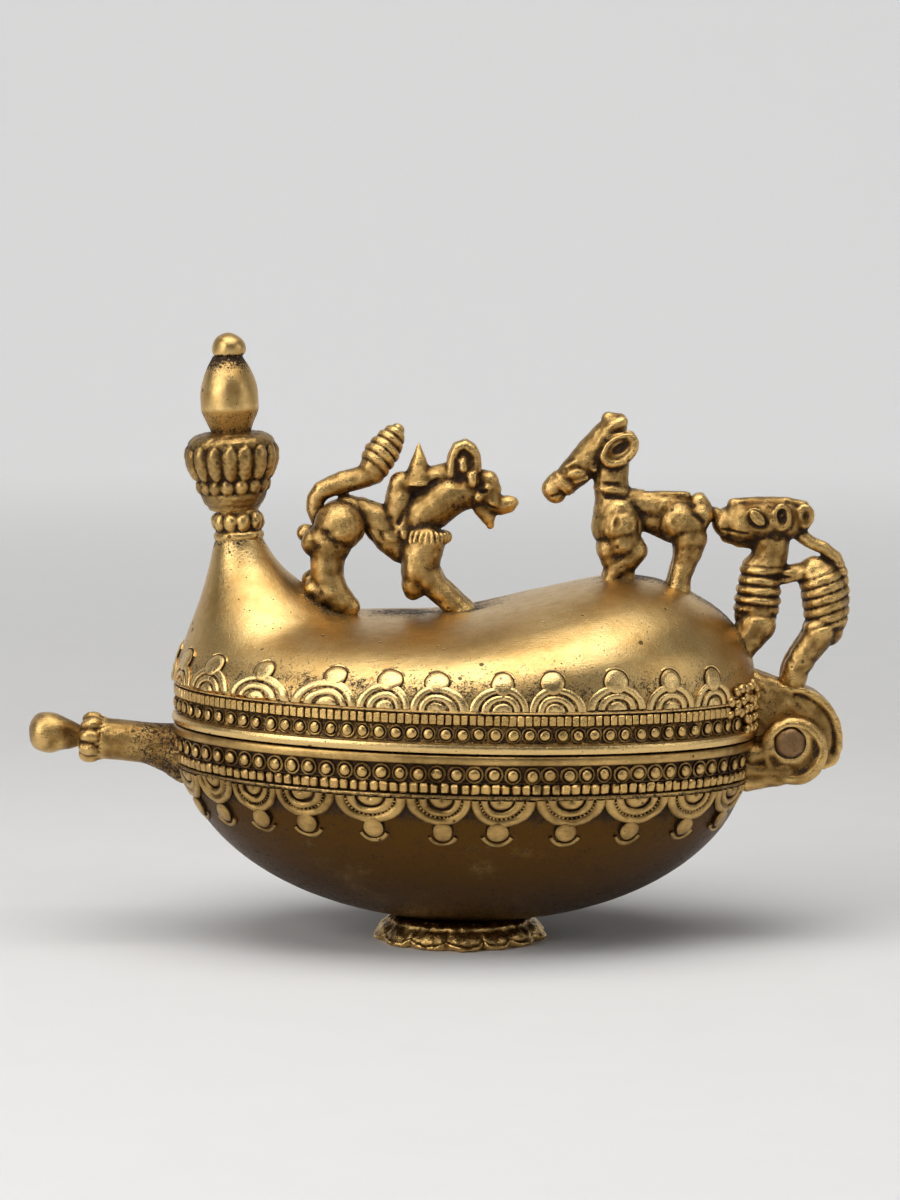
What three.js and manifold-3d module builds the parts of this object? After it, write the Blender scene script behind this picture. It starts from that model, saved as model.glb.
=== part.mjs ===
// Sindoor box: a cast brass box for vermilion powder, boat-shaped, with a hinged lid.
// Three animals and a tall finial stand on the lid. Millimetres, +Z up.
// The origin is the middle of the foot's flat underside, +X runs to the hinge, -Y is the front.
import * as THREE from 'three';
import { LoftGeometry } from 'three/addons/geometries/LoftGeometry.js';
import { mergeVertices } from 'three/addons/utils/BufferGeometryUtils.js';
import Module from 'manifold-3d';

const wasm = await Module();
wasm.setup();

const { degToRad, smoothstep, lerp, clamp } = THREE.MathUtils;

// Driving dimensions of the two shells
const RIM_HALF_LENGTH = 58.6;
const RIM_HALF_WIDTH = 38.8;
const HULL_DEPTH = 38.9;
const FOOT_RISE = 4;
const HULL_POWER = 2.13;
const WALL = 2.5;
const LEAN = degToRad(1.4);

// The lid's crest over its band: low beside the neck, high under the animals near the hinge
const LOW_CREST = 14.6;
const HIGH_CREST = 27.1;
const SWELL_START_SHARE = -0.17;
const SWELL_END_SHARE = 0.75;
const CREST_POWER = 2.4;
const SECTION_POWER = 2.1;

// The neck that the lid draws up into. The insets are its places from the handle end.
const NECK_HEIGHT = 36.9;
const NECK_FOOT_RADIUS = 25.5;
const NECK_TOP_RADIUS = 4.85;
const NECK_FOOT_INSET = 24.6;
const NECK_TOP_INSET = 12.25;
const SPRING_INSET = 20.6;
const BLEND_POWER = 8;

// Clearances
const SEAM_GAP = 0.3;
const SEAT_GAP = 0.3;
const COURSE_GAP = 0.25;
const PIN_CLEARANCE = 0.3;
const CHEEK_GAP = 0.35;
const OVERRUN = 3;
const WELD = 0.001;

// The ornamental band, the same on both sides of the seam
const LIP_RISE = 2.1;
const LIP_SHOULDER_SHARE = 0.25;
const BEAD_RISE = 2.9;
const ROPE_RISE = 2.1;
const RIDGE_RISE = 0.7;
const CHANNEL_DEPTH = 1;
const LID_LIP_OUTSET = 0.6;
const BOWL_LIP_OUTSET = 0.2;
const BEAD_OUTSET = 0.5;
const BEAD_WAIST_INSET = 0.3;
const BEAD_SHOULDER_SHARE = 0.6;
const BEAD_FACE_SHARE = 0.7;
const WAIST_RISE_SHARE = 0.8;
const ROPE_OUTSET = 0.4;
const RIDGE_OUTSET = 0.3;

// Foot
const FOOT_RADIUS = 17.5;
const FOOT_TOP_RADIUS = 15.1;
const FOOT_EDGE_RISE = 1.3;
const PETAL_DEPTH = 0.7;
const FOOT_PETALS = 15;

// Handle, measured along its own axis from the hull's end
const HANDLE_RISE = degToRad(4.9);
const HANDLE_ROOT_DROP = 5.3;
const STEM_LENGTH = 15.3;
const STEM_RADIUS = 4.3;
const STEM_ROOT_RADIUS = 4.9;
const HANDLE_COLLAR_LENGTH = 2.6;
const HANDLE_COLLAR_RADIUS = 5.2;
const HANDLE_COLLAR_LOBES = 9;
const KNOB_LENGTH = 11;
const KNOB_RADIUS = 4.15;

// Hinge
const HINGE_REACH = 6.4;
const HINGE_DROP = 0.5;
const PIN_RADIUS = 3;
const PIN_END_RISE = 0.5;
const PIN_END_SHARE = 0.8;
const EAR_RADIUS = 6.9;
const EAR_SHIFT = 0.8;
const EAR_DROP = 1.7;
const EAR_THICKNESS = 4.5;
const EAR_ROOT_DEPTH = 9.5;
const EAR_ROOT_ANGLE = degToRad(-120);
const TONGUE_THICKNESS = 8.3;
const TONGUE_RADIUS = 11.1;
const KNUCKLE_RADIUS = 5.5;
const HEEL_ANGLE = degToRad(-39);
const CROWN_ANGLE = degToRad(100);
const ARM_HEIGHT = 9.5;

// Finial, stacked along its own leaning axis
const FINIAL_LEAN = degToRad(-4);
const COLLAR_HEIGHT = 5.6;
const COLLAR_RADIUS = 5.5;
const COLLAR_LOBES = 10;
const CUP_HEIGHT = 14.8;
const CUP_RADIUS = 9.5;
const CUP_PETALS = 12;
const URN_HEIGHT = 15.3;
const URN_RADIUS = 5.9;
const CAP_HEIGHT = 4.8;
const CAP_RADIUS = 3.4;
const LOBE_DEPTH = 0.45;

// Animals: one span sets the size of all three. The tiger stands by the hinge end and bites the deer.
const FIGURE_SPAN_SHARE = 0.6826;
const LION_PLACE_SHARE = -0.017;
const DEER_SPACING_SHARE = 0.475;
const TIGER_INSET = 4.6;
const TIP_REACH_SHARE = 0.7;
const TIP_RADIUS_SHARE = 0.6;

// Facets
const SHELL_SIDES = 40;
const HULL_ROWS = 8;
const HULL_LINING_ROWS = 5;
const DOME_ROWS = 13;
const DOME_LINING_ROWS = 6;
const SWING_POWER = 1.2;
const BEADS = 66;
const ROPE_STATIONS = 44;
const TURNED_SIDES = 20;
const LOBE_POINTS = 4;
const LIMB_SIDES = 6;
const ARC_FACETS = 10;

const RIM_HEIGHT = FOOT_RISE + HULL_DEPTH;
const HINGE_X = RIM_HALF_LENGTH + HINGE_REACH;
const HINGE_Z = RIM_HEIGHT - HINGE_DROP;
const SPRING_X = SPRING_INSET - RIM_HALF_LENGTH;
const NECK_FOOT_X = NECK_FOOT_INSET - RIM_HALF_LENGTH;
const NECK_TOP_X = NECK_TOP_INSET - RIM_HALF_LENGTH;
const FIGURE_SPAN = FIGURE_SPAN_SHARE * RIM_HALF_LENGTH;
const LION_X = LION_PLACE_SHARE * RIM_HALF_LENGTH;
const TIGER_X = RIM_HALF_LENGTH - TIGER_INSET;
const DEER_X = TIGER_X - DEER_SPACING_SHARE * FIGURE_SPAN;
const BEAD_START = SEAM_GAP / 2 + LIP_RISE + COURSE_GAP;
const ROPE_START = BEAD_START + BEAD_RISE + COURSE_GAP;
const RIDGE_START = ROPE_START + ROPE_RISE + COURSE_GAP;
const BAND_RISE = RIDGE_START + RIDGE_RISE;
const NECK_LEAN_X = NECK_TOP_X - NECK_FOOT_X;
const HINGE_HALF_WIDTH = TONGUE_THICKNESS / 2 + CHEEK_GAP + EAR_THICKNESS;
const BOWL_COURSE_OPENING = HINGE_HALF_WIDTH + COURSE_GAP;
const LID_COURSE_OPENING = TONGUE_THICKNESS / 2 + COURSE_GAP;

// Radius and place of the neck on its way up, as [height, flare, lean] shares
const NECK_SHARES = [
  [0, 1, 0],
  [0.27, 0.855, 0.22],
  [0.54, 0.564, 0.42],
  [0.68, 0.37, 0.6],
  [0.86, 0.12, 0.88],
  [1, 0, 1],
];

// The foot's edge as [height, radius] shares, and its side over that as [height, flare, petal] shares
const FOOT_EDGE_SHARES = [
  [0, 0.96],
  [1, 1],
];
const FOOT_SIDE_SHARES = [
  [0.25, 0.5, 0.5],
  [0.5, 0, 0],
  [1, 0, 0],
];

// Where the rings of the cutting block lie on the bowl's band, from its lower edge to the rim
const BLOCK_SHARES = [1, 0.7, 0.4, 0];

// Turned outlines, as [height, radius] shares
const STEM_SHARES = [
  [0, 1],
  [0.12, 0.5],
  [0.35, 0.1],
  [0.7, 0],
  [1, 0.1],
];
const HANDLE_COLLAR_SHARES = [
  [0, 0.88],
  [0.25, 1],
  [0.75, 1],
  [1, 0.88],
];
const KNOB_SHARES = [
  [0, 0.8],
  [0.15, 0.64],
  [0.38, 0.86],
  [0.62, 1],
  [0.82, 0.93],
  [0.95, 0.5],
  [1, 0],
];
const COLLAR_SHARES = [
  [0, 0.92],
  [0.14, 0.96],
  [0.28, 0.9],
  [0.6, 1],
  [1, 0.84],
];
const CUP_SHARES = [
  [0, 0.53],
  [0.12, 0.67],
  [0.18, 0.66],
  [0.4, 0.87],
  [0.75, 1],
  [0.9, 0.9],
  [1, 0.68],
];
const URN_SHARES = [
  [0, 0.64],
  [0.1, 0.72],
  [0.25, 0.93],
  [0.37, 1],
  [0.42, 0.97],
  [0.6, 0.86],
  [0.8, 0.66],
  [1, 0.54],
];
const CAP_SHARES = [
  [0, 0.76],
  [0.2, 0.96],
  [0.42, 1],
  [0.68, 0.82],
  [0.88, 0.5],
  [1, 0],
];

// Each limb is a row of stations [along, aside, up, radius] in shares of the figure's span.
// A paired limb is made on both sides.
const LION_SHARES = {
  single: {
    torso: [[-0.6, 0, 0.46, 0.1], [-0.48, 0, 0.45, 0.1], [-0.34, 0, 0.35, 0.095], [-0.2, 0, 0.37, 0.12]],
    neck: [[-0.22, 0, 0.46, 0.12], [-0.13, 0, 0.53, 0.125], [-0.05, 0, 0.62, 0.11]],
    head: [[-0.04, 0, 0.62, 0.115], [0.06, 0, 0.6, 0.09], [0.15, 0, 0.56, 0.05], [0.25, 0, 0.54, 0.028]],
    jaw: [[0.02, 0, 0.54, 0.07], [0.08, 0, 0.47, 0.045], [0.125, 0, 0.42, 0.025]],
    crest: [[-0.06, 0, 0.66, 0.07], [-0.05, 0, 0.77, 0.06], [0, 0, 0.81, 0.055], [0.05, 0, 0.73, 0.05]],
    tuft: [[-0.22, 0, 0.58, 0.08], [-0.23, 0, 0.69, 0.055], [-0.24, 0, 0.82, 0.01]],
    tail: [
      [-0.68, 0, 0.46, 0.07], [-0.76, 0, 0.52, 0.055], [-0.7, 0, 0.59, 0.05], [-0.54, 0, 0.65, 0.045],
      [-0.43, 0, 0.78, 0.095], [-0.37, 0, 0.87, 0.055], [-0.35, 0, 0.905, 0.025],
    ],
  },
  paired: {
    haunch: [[-0.62, 0.08, 0.47, 0.11], [-0.62, 0.1, 0.4, 0.14], [-0.67, 0.1, 0.26, 0.105]],
    hock: [[-0.7, 0.1, 0.32, 0.08], [-0.79, 0.1, 0.33, 0.055]],
    hindLeg: [[-0.68, 0.11, 0.2, 0.1], [-0.64, 0.12, -0.04, 0.1]],
    thigh: [[-0.19, 0.08, 0.36, 0.1], [-0.2, 0.1, 0.22, 0.1], [-0.24, 0.11, 0.1, 0.055]],
    foreLeg: [[-0.19, 0.11, 0.14, 0.06], [-0.08, 0.12, 0.08, 0.055], [0, 0.12, -0.06, 0.055]],
  },
};
const DEER_SHARES = {
  single: {
    torso: [
      [-0.14, 0, 0.27, 0.14], [-0.02, 0, 0.32, 0.09], [0.08, 0, 0.32, 0.085], [0.18, 0, 0.3, 0.13],
      [0.25, 0, 0.32, 0.09],
    ],
    neck: [[-0.14, 0, 0.34, 0.1], [-0.16, 0, 0.46, 0.08], [-0.18, 0, 0.58, 0.09]],
    head: [
      [-0.19, 0, 0.73, 0.065], [-0.25, 0, 0.64, 0.095], [-0.32, 0, 0.53, 0.095], [-0.38, 0, 0.44, 0.065],
      [-0.44, 0, 0.395, 0.075],
    ],
    tail: [[0.24, 0, 0.39, 0.065], [0.3, 0, 0.35, 0.055], [0.34, 0, 0.325, 0.03]],
  },
  paired: {
    ear: [[-0.22, 0.07, 0.55, 0.035], [-0.16, 0.09, 0.61, 0.065], [-0.07, 0.1, 0.66, 0.045]],
    foreLeg: [
      [-0.13, 0.07, 0.22, 0.11], [-0.05, 0.09, 0.14, 0.07], [-0.15, 0.1, 0.05, 0.06],
      [-0.16, 0.11, -0.1, 0.06],
    ],
    hindLeg: [
      [0.18, 0.06, 0.27, 0.11], [0.2, 0.09, 0.15, 0.075], [0.18, 0.1, 0.05, 0.06],
      [0.16, 0.11, -0.12, 0.065],
    ],
  },
};
const TIGER_SHARES = {
  single: {
    torso: [[0.15, 0, 0.46, 0.07], [0.14, 0, 0.36, 0.095], [0.11, 0, 0.22, 0.12], [0.1, 0, 0.1, 0.115]],
    head: [
      [-0.06, 0, 0.56, 0.06], [0.02, 0, 0.565, 0.095], [0.12, 0, 0.57, 0.12], [0.22, 0, 0.58, 0.105],
      [0.29, 0, 0.59, 0.06],
    ],
    back: [[0.14, 0, 0.28, 0.07], [0.26, 0, 0.28, 0.065], [0.38, 0, 0.26, 0.1]],
    rump: [[0.43, 0, 0.27, 0.12], [0.43, 0, 0.15, 0.135], [0.43, 0, 0.03, 0.1], [0.46, 0, -0.04, 0.05]],
    tail: [[0.26, 0, 0.52, 0.04], [0.37, 0, 0.46, 0.035], [0.47, 0, 0.41, 0.035], [0.53, 0, 0.31, 0.04]],
  },
  paired: {
    ear: [[0.29, 0.06, 0.6, 0.05], [0.35, 0.07, 0.57, 0.04]],
    foreLeg: [
      [0.09, 0.07, 0.12, 0.09], [0.09, 0.09, 0.03, 0.065], [0.03, 0.1, -0.03, 0.06],
      [-0.03, 0.1, -0.1, 0.055],
    ],
    hindLeg: [
      [0.42, 0.06, 0.04, 0.09], [0.35, 0.06, -0.05, 0.065], [0.31, 0.06, -0.15, 0.06],
      [0.29, 0.05, -0.3, 0.06],
    ],
  },
};

// A geometry with only positions and shared corners, as joins, cuts and export need it
function welded(geometry) {
  const bare = new THREE.BufferGeometry();
  bare.setAttribute('position', geometry.getAttribute('position'));
  bare.setIndex(geometry.index);
  return mergeVertices(bare, WELD);
}

function toSolid(geometry) {
  const bare = welded(geometry);
  const vertProperties = new Float32Array(bare.getAttribute('position').array);
  const triVerts = new Uint32Array(bare.index.array);
  return new wasm.Manifold(new wasm.Mesh({ numProp: 3, vertProperties, triVerts }));
}

function toGeometry(solid) {
  const { vertProperties, triVerts } = solid.getMesh();
  const geometry = new THREE.BufferGeometry();
  geometry.setAttribute('position', new THREE.BufferAttribute(vertProperties, 3));
  geometry.setIndex(new THREE.BufferAttribute(triVerts, 1));
  geometry.computeVertexNormals();
  return geometry;
}

function ovalRing(halfLength, halfWidth, z) {
  return Array.from({ length: SHELL_SIDES }, (_, side) => {
    const turn = (2 * Math.PI * side) / SHELL_SIDES;
    return new THREE.Vector3(halfLength * Math.cos(turn), halfWidth * Math.sin(turn), z);
  });
}

// A round ring drawn in between its lobes
function lobedRing(z, radius, lobes, depth) {
  const sides = lobes * LOBE_POINTS;
  return Array.from({ length: sides }, (_, side) => {
    const turn = (2 * Math.PI * side) / sides;
    const valley = 1 - Math.abs(Math.cos((lobes * turn) / 2));
    const reach = radius - depth * valley;
    return new THREE.Vector3(reach * Math.cos(turn), reach * Math.sin(turn), z);
  });
}

function lobedBody(shares, height, radius, lobes, depth) {
  const rings = shares.map(([up, out]) => lobedRing(up * height, out * radius, lobes, depth));
  return loft(rings);
}

// A turned body that stands on z = 0, from an outline of [z, radius] points
function turnedBody(outline) {
  const points = outline.map(([z, radius]) => new THREE.Vector2(radius, z));
  const [first, last] = [points[0], points[points.length - 1]];
  points.unshift(new THREE.Vector2(0, first.y));
  if (last.x > 0) points.push(new THREE.Vector2(0, last.y));
  return new THREE.LatheGeometry(points, TURNED_SIDES).rotateX(Math.PI / 2);
}

// Hull: how far the bowl's wall stands out at a depth below the rim, as a share of the rim
function hullShare(depth, fullDepth) {
  return (1 - (depth / fullDepth) ** HULL_POWER) ** (1 / HULL_POWER);
}

function hullRing(depth, outset) {
  const share = hullShare(depth, HULL_DEPTH);
  return ovalRing(RIM_HALF_LENGTH * share + outset, RIM_HALF_WIDTH * share + outset, RIM_HEIGHT - depth);
}

function lidBandRing(rise, outset) {
  return ovalRing(RIM_HALF_LENGTH + outset, RIM_HALF_WIDTH + outset, RIM_HEIGHT + rise);
}

// The rings of a band from the seam outward: a half-round lip, the courses' channel and a ridge
function bandRings(bandRing, lipOutset) {
  const seam = SEAM_GAP / 2;
  return [
    bandRing(seam, 0),
    bandRing(seam + LIP_RISE * LIP_SHOULDER_SHARE, lipOutset),
    bandRing(seam + LIP_RISE * (1 - LIP_SHOULDER_SHARE), lipOutset),
    bandRing(seam + LIP_RISE, 0),
    bandRing(seam + LIP_RISE, -CHANNEL_DEPTH),
    bandRing(RIDGE_START, -CHANNEL_DEPTH),
    bandRing(RIDGE_START, RIDGE_OUTSET),
    bandRing(BAND_RISE, RIDGE_OUTSET),
  ];
}

// Rings of the bowl's wall from its flat bottom up to a start depth, for one surface of the wall
function hullRings(inset, startDepth, rows) {
  const fullDepth = HULL_DEPTH - inset;
  const startAngle = Math.asin((startDepth / fullDepth) ** (HULL_POWER / 2));
  return Array.from({ length: rows }, (_, row) => {
    const angle = lerp(Math.PI / 2, startAngle, (row + 0.5) / (rows - 0.5));
    const share = Math.cos(angle) ** (2 / HULL_POWER);
    const depth = fullDepth * Math.sin(angle) ** (2 / HULL_POWER);
    return ovalRing((RIM_HALF_LENGTH - inset) * share, (RIM_HALF_WIDTH - inset) * share, RIM_HEIGHT - depth);
  });
}

function loft(rings) {
  return new LoftGeometry(rings, { capStart: true, capEnd: true });
}

function bowlShell() {
  const outside = [...hullRings(0, BAND_RISE, HULL_ROWS), ...bandRings(hullRing, BOWL_LIP_OUTSET).reverse()];
  const mouth = ovalRing(RIM_HALF_LENGTH - WALL, RIM_HALF_WIDTH - WALL, RIM_HEIGHT + OVERRUN);
  const hollow = [...hullRings(WALL, SEAM_GAP / 2, HULL_LINING_ROWS), mouth];
  return toGeometry(toSolid(loft(outside)).subtract(toSolid(loft(hollow))));
}

// The bowl's outside as one solid block, grown on all sides, for cutting what is fixed to it
function bowlBlock(grow) {
  const proud = Math.max(BEAD_OUTSET, ROPE_OUTSET, BOWL_LIP_OUTSET) + grow;
  const outside = hullRings(-grow, BAND_RISE + grow, HULL_ROWS);
  const band = BLOCK_SHARES.map((share) => hullRing(share * (BAND_RISE + grow), proud));
  return toSolid(loft([...outside, ...band]));
}

// One course of the band: a strip bent round the shell and open at the hinge.
// swellAt tells how full the strip is at each station, from 0 at a waist to 1 at a bead's belly.
function course(bandRing, start, rise, outset, openHalf, stations, swellAt) {
  const openAngle = Math.asin(openHalf / RIM_HALF_WIDTH);
  const inset = COURSE_GAP - CHANNEL_DEPTH;
  const sections = Array.from({ length: stations + 1 }, (_, station) => {
    const swell = swellAt(station);
    const turn = lerp(openAngle, 2 * Math.PI - openAngle, station / stations);
    const reach = lerp(-BEAD_WAIST_INSET, outset, swell);
    const shoulder = lerp(inset, reach, BEAD_SHOULDER_SHARE);
    const middle = start + rise / 2;
    const half = (rise / 2) * lerp(WAIST_RISE_SHARE, 1, swell);
    const rows = [
      [middle - half, inset],
      [middle + half, inset],
      [middle + half * BEAD_FACE_SHARE, shoulder],
      [middle, reach],
      [middle - half * BEAD_FACE_SHARE, shoulder],
    ];
    return rows.map(([height, out]) => bandPoint(bandRing(height, out), turn));
  });
  if (sections[0][0].z > sections[0][1].z) sections.forEach((section) => section.reverse());
  return loft(sections);
}

function beadCourse(bandRing, openHalf) {
  return course(bandRing, BEAD_START, BEAD_RISE, BEAD_OUTSET, openHalf, 2 * BEADS, (station) => station % 2);
}

function ropeCourse(bandRing, openHalf) {
  return course(bandRing, ROPE_START, ROPE_RISE, ROPE_OUTSET, openHalf, ROPE_STATIONS, () => 1);
}

// A point of an oval ring at any turn, from the ring's own half length, half width and height
function bandPoint(ring, turn) {
  const halfLength = ring[0].x;
  const halfWidth = ring[SHELL_SIDES / 4].y;
  return new THREE.Vector3(halfLength * Math.cos(turn), halfWidth * Math.sin(turn), ring[0].z);
}

const neckHeights = NECK_SHARES.map(([height]) => height);
const neckPlaces = NECK_SHARES.flatMap(([, flare, lean]) => [flare, lean]);
const neckCurve = new THREE.CubicInterpolant(neckHeights, neckPlaces, 2);

// How far a point lies out from the neck's axis, where 1 is on its surface
function neckGauge(point, grow) {
  const heightShare = clamp((point.z + BAND_RISE) / NECK_HEIGHT, 0, 1);
  const [flare, lean] = neckCurve.evaluate(heightShare);
  const radius = lerp(NECK_TOP_RADIUS, NECK_FOOT_RADIUS, flare) + grow;
  return Math.hypot(point.x - NECK_FOOT_X - lean * NECK_LEAN_X, point.y) / radius;
}

// How far a point lies out from the dome's spine, where 1 is on its surface
function domeGauge(point, grow) {
  const endShare = Math.abs(point.x) / (RIM_HALF_LENGTH + grow);
  if (endShare >= 1) return Infinity;
  const width = (RIM_HALF_WIDTH + grow) * Math.sqrt(1 - endShare ** 2);
  const height = (fullCrest(point.x) + grow) * (1 - endShare ** CREST_POWER) ** (1 / CREST_POWER);
  const across = (Math.abs(point.y) / width) ** SECTION_POWER;
  const up = (Math.max(point.z, 0) / height) ** SECTION_POWER;
  return (across + up) ** (1 / SECTION_POWER);
}

function fullCrest(x) {
  const along = x / RIM_HALF_LENGTH;
  return lerp(LOW_CREST, HIGH_CREST, smoothstep(along, SWELL_START_SHARE, SWELL_END_SHARE));
}

// Dome and neck run into each other with a soft blend, so this is below 1 inside their union
function lidGauge(point, grow) {
  const dome = domeGauge(point, grow) ** -BLEND_POWER;
  const neck = neckGauge(point, grow) ** -BLEND_POWER;
  return (dome + neck) ** (-1 / BLEND_POWER);
}

// Walks out from the spring point until the lid's surface is met
function surfaceAlong(direction, grow) {
  let inside = 0;
  let outside = 2 * RIM_HALF_LENGTH;
  const point = new THREE.Vector3();
  while (outside - inside > WELD) {
    const reach = (inside + outside) / 2;
    point.copy(direction).multiplyScalar(reach);
    point.x += SPRING_X;
    if (lidGauge(point, grow) < 1) inside = reach;
    else outside = reach;
  }
  return point;
}

// Middle of the neck's top face, over the band, for a lid surface grown by some length
function neckTop(grow) {
  const axis = new THREE.Vector3(Math.sin(FINIAL_LEAN), 0, Math.cos(FINIAL_LEAN));
  const top = new THREE.Vector3(NECK_TOP_X, 0, NECK_HEIGHT - BAND_RISE);
  return top.addScaledVector(axis, grow);
}

// Foot and crown of the dome: the oval over the band, and the neck's leaning top ring
function domeEnds(grow) {
  const lean = new THREE.Matrix4().makeRotationY(FINIAL_LEAN);
  const foot = ovalRing(RIM_HALF_LENGTH + grow, RIM_HALF_WIDTH + grow, 0);
  const crown = ovalRing(NECK_TOP_RADIUS + grow, NECK_TOP_RADIUS + grow, 0);
  crown.forEach((point) => point.applyMatrix4(lean).add(neckTop(grow)));
  return { foot, crown };
}

// Rings of the lid over its band: each meridian swings a ray from the band up to the neck's top ring.
// A grown surface keeps the rays of the true one, so its facets lie over the same facets.
function domeRings(grow, rows) {
  const spring = new THREE.Vector3(SPRING_X, 0, 0);
  const { foot, crown } = domeEnds(grow);
  const aim = domeEnds(Math.min(grow, 0));
  return Array.from({ length: rows + 1 }, (_, row) => {
    const swing = (row / rows) ** SWING_POWER;
    return foot.map((footPoint, side) => {
      if (row === 0) return lifted(footPoint);
      if (row === rows) return lifted(crown[side]);
      const from = aim.foot[side].clone().sub(spring).normalize();
      const to = aim.crown[side].clone().sub(spring).normalize();
      const axis = from.clone().cross(to).normalize();
      const direction = from.clone().applyAxisAngle(axis, from.angleTo(to) * swing);
      return lifted(surfaceAlong(direction, grow));
    });
  });
}

function lifted(point) {
  return point.clone().setZ(point.z + RIM_HEIGHT + BAND_RISE);
}

function lidShell() {
  const outside = [...bandRings(lidBandRing, LID_LIP_OUTSET), ...domeRings(0, DOME_ROWS)];
  const mouth = ovalRing(RIM_HALF_LENGTH - WALL, RIM_HALF_WIDTH - WALL, RIM_HEIGHT - OVERRUN);
  const hollow = [mouth, ...domeRings(-WALL, DOME_LINING_ROWS)];
  return toGeometry(toSolid(loft(outside)).subtract(toSolid(loft(hollow))));
}

// The lid's outside as one solid block, grown on all sides, for cutting what stands on it
function lidBlock(grow) {
  const proud = Math.max(BEAD_OUTSET, ROPE_OUTSET, LID_LIP_OUTSET) + grow;
  const band = [lidBandRing(SEAM_GAP / 2 - grow, proud), lidBandRing(BAND_RISE, proud)];
  const dome = domeRings(grow, DOME_ROWS);
  return toSolid(loft([...band, ...dome]));
}

// The foot stands level while the bowl leans, so its top is cut to the leaning hull
function foot() {
  const top = FOOT_RISE + OVERRUN;
  const edge = FOOT_EDGE_SHARES.map(([up, out]) => {
    return lobedRing(up * FOOT_EDGE_RISE, out * FOOT_RADIUS, FOOT_PETALS, PETAL_DEPTH);
  });
  const side = FOOT_SIDE_SHARES.map(([up, flare, petal]) => {
    const radius = lerp(FOOT_TOP_RADIUS, FOOT_RADIUS, flare);
    return lobedRing(lerp(FOOT_EDGE_RISE, top, up), radius, FOOT_PETALS, petal * PETAL_DEPTH);
  });
  const block = toSolid(loft([...edge, ...side]));
  const leaning = toSolid(toGeometry(bowlBlock(SEAT_GAP)).rotateY(LEAN));
  return toGeometry(block.subtract(leaning));
}

function handleMatrix() {
  const place = new THREE.Matrix4().makeTranslation(-RIM_HALF_LENGTH, 0, RIM_HEIGHT - HANDLE_ROOT_DROP);
  return place.multiply(new THREE.Matrix4().makeRotationY(HANDLE_RISE - Math.PI / 2));
}

function handleStem() {
  const rings = STEM_SHARES.map(([along, flare]) => {
    const radius = lerp(STEM_RADIUS, STEM_ROOT_RADIUS, flare);
    return lobedRing(along * STEM_LENGTH, radius, TURNED_SIDES / LOBE_POINTS, 0);
  });
  rings.unshift(lobedRing(-OVERRUN, STEM_ROOT_RADIUS, TURNED_SIDES / LOBE_POINTS, 0));
  const stem = loft(rings).applyMatrix4(handleMatrix());
  return toGeometry(toSolid(stem).subtract(bowlBlock(SEAT_GAP)));
}

function handleCollar() {
  return lobedBody(
    HANDLE_COLLAR_SHARES,
    HANDLE_COLLAR_LENGTH,
    HANDLE_COLLAR_RADIUS,
    HANDLE_COLLAR_LOBES,
    LOBE_DEPTH,
  );
}

function handleKnob() {
  return turnedBody(KNOB_SHARES.map(([along, out]) => [along * KNOB_LENGTH, out * KNOB_RADIUS]));
}

// A flat plate in the XZ plane with its outline round the hinge axis, centred on y = 0
function hingePlate(outline, thickness) {
  const bore = new THREE.Path().absarc(0, 0, PIN_RADIUS + PIN_CLEARANCE, 0, 2 * Math.PI, true);
  outline.holes.push(bore);
  const options = { depth: thickness, bevelEnabled: false, curveSegments: ARC_FACETS };
  const plate = new THREE.ExtrudeGeometry(outline, options);
  return plate.rotateX(Math.PI / 2).translate(HINGE_X, thickness / 2, HINGE_Z);
}

// An ear of the bowl: a round eye, hung a little low of the pin, with a root to the hull
function hingeEarAt(side) {
  const y = side * (TONGUE_THICKNESS / 2 + CHEEK_GAP + EAR_THICKNESS / 2);
  const rootX = -HINGE_REACH - OVERRUN;
  const rootTop = HINGE_DROP - SEAM_GAP / 2 - SEAT_GAP;
  const topAngle = Math.PI - Math.asin((rootTop + EAR_DROP) / EAR_RADIUS);
  const outline = new THREE.Shape();
  outline.moveTo(rootX, rootTop);
  outline.lineTo(rootX, -EAR_ROOT_DEPTH);
  outline.absarc(EAR_SHIFT, -EAR_DROP, EAR_RADIUS, EAR_ROOT_ANGLE, topAngle, false);
  const ear = hingePlate(outline, EAR_THICKNESS).translate(0, y, 0);
  return toGeometry(toSolid(ear).subtract(bowlBlock(SEAT_GAP)));
}

// The lid's tongue: a knuckle on the pin inside a larger quadrant, whose heel stops the lid when open
function tongueSolid(grow) {
  const armX = -HINGE_REACH - OVERRUN;
  const armBottom = HINGE_DROP + SEAM_GAP / 2;
  const knuckleStart = Math.PI - Math.asin(armBottom / KNUCKLE_RADIUS);
  const outline = new THREE.Shape();
  outline.absarc(0, 0, TONGUE_RADIUS + grow, HEEL_ANGLE, CROWN_ANGLE, false);
  outline.lineTo(armX, ARM_HEIGHT + grow);
  outline.lineTo(armX, armBottom);
  outline.absarc(0, 0, KNUCKLE_RADIUS, knuckleStart, 2 * Math.PI + HEEL_ANGLE, false);
  return toSolid(hingePlate(outline, TONGUE_THICKNESS + 2 * grow));
}

function hingeTongue() {
  return toGeometry(tongueSolid(0).subtract(lidBlock(SEAT_GAP)));
}

function hingePin() {
  const halfLength = HINGE_HALF_WIDTH + PIN_END_RISE;
  const outline = [
    [-halfLength, PIN_RADIUS * PIN_END_SHARE],
    [-halfLength + PIN_END_RISE, PIN_RADIUS],
    [halfLength - PIN_END_RISE, PIN_RADIUS],
    [halfLength, PIN_RADIUS * PIN_END_SHARE],
  ];
  return turnedBody(outline).rotateX(Math.PI / 2);
}

function finialCollar() {
  return lobedBody(COLLAR_SHARES, COLLAR_HEIGHT, COLLAR_RADIUS, COLLAR_LOBES, LOBE_DEPTH);
}

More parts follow.
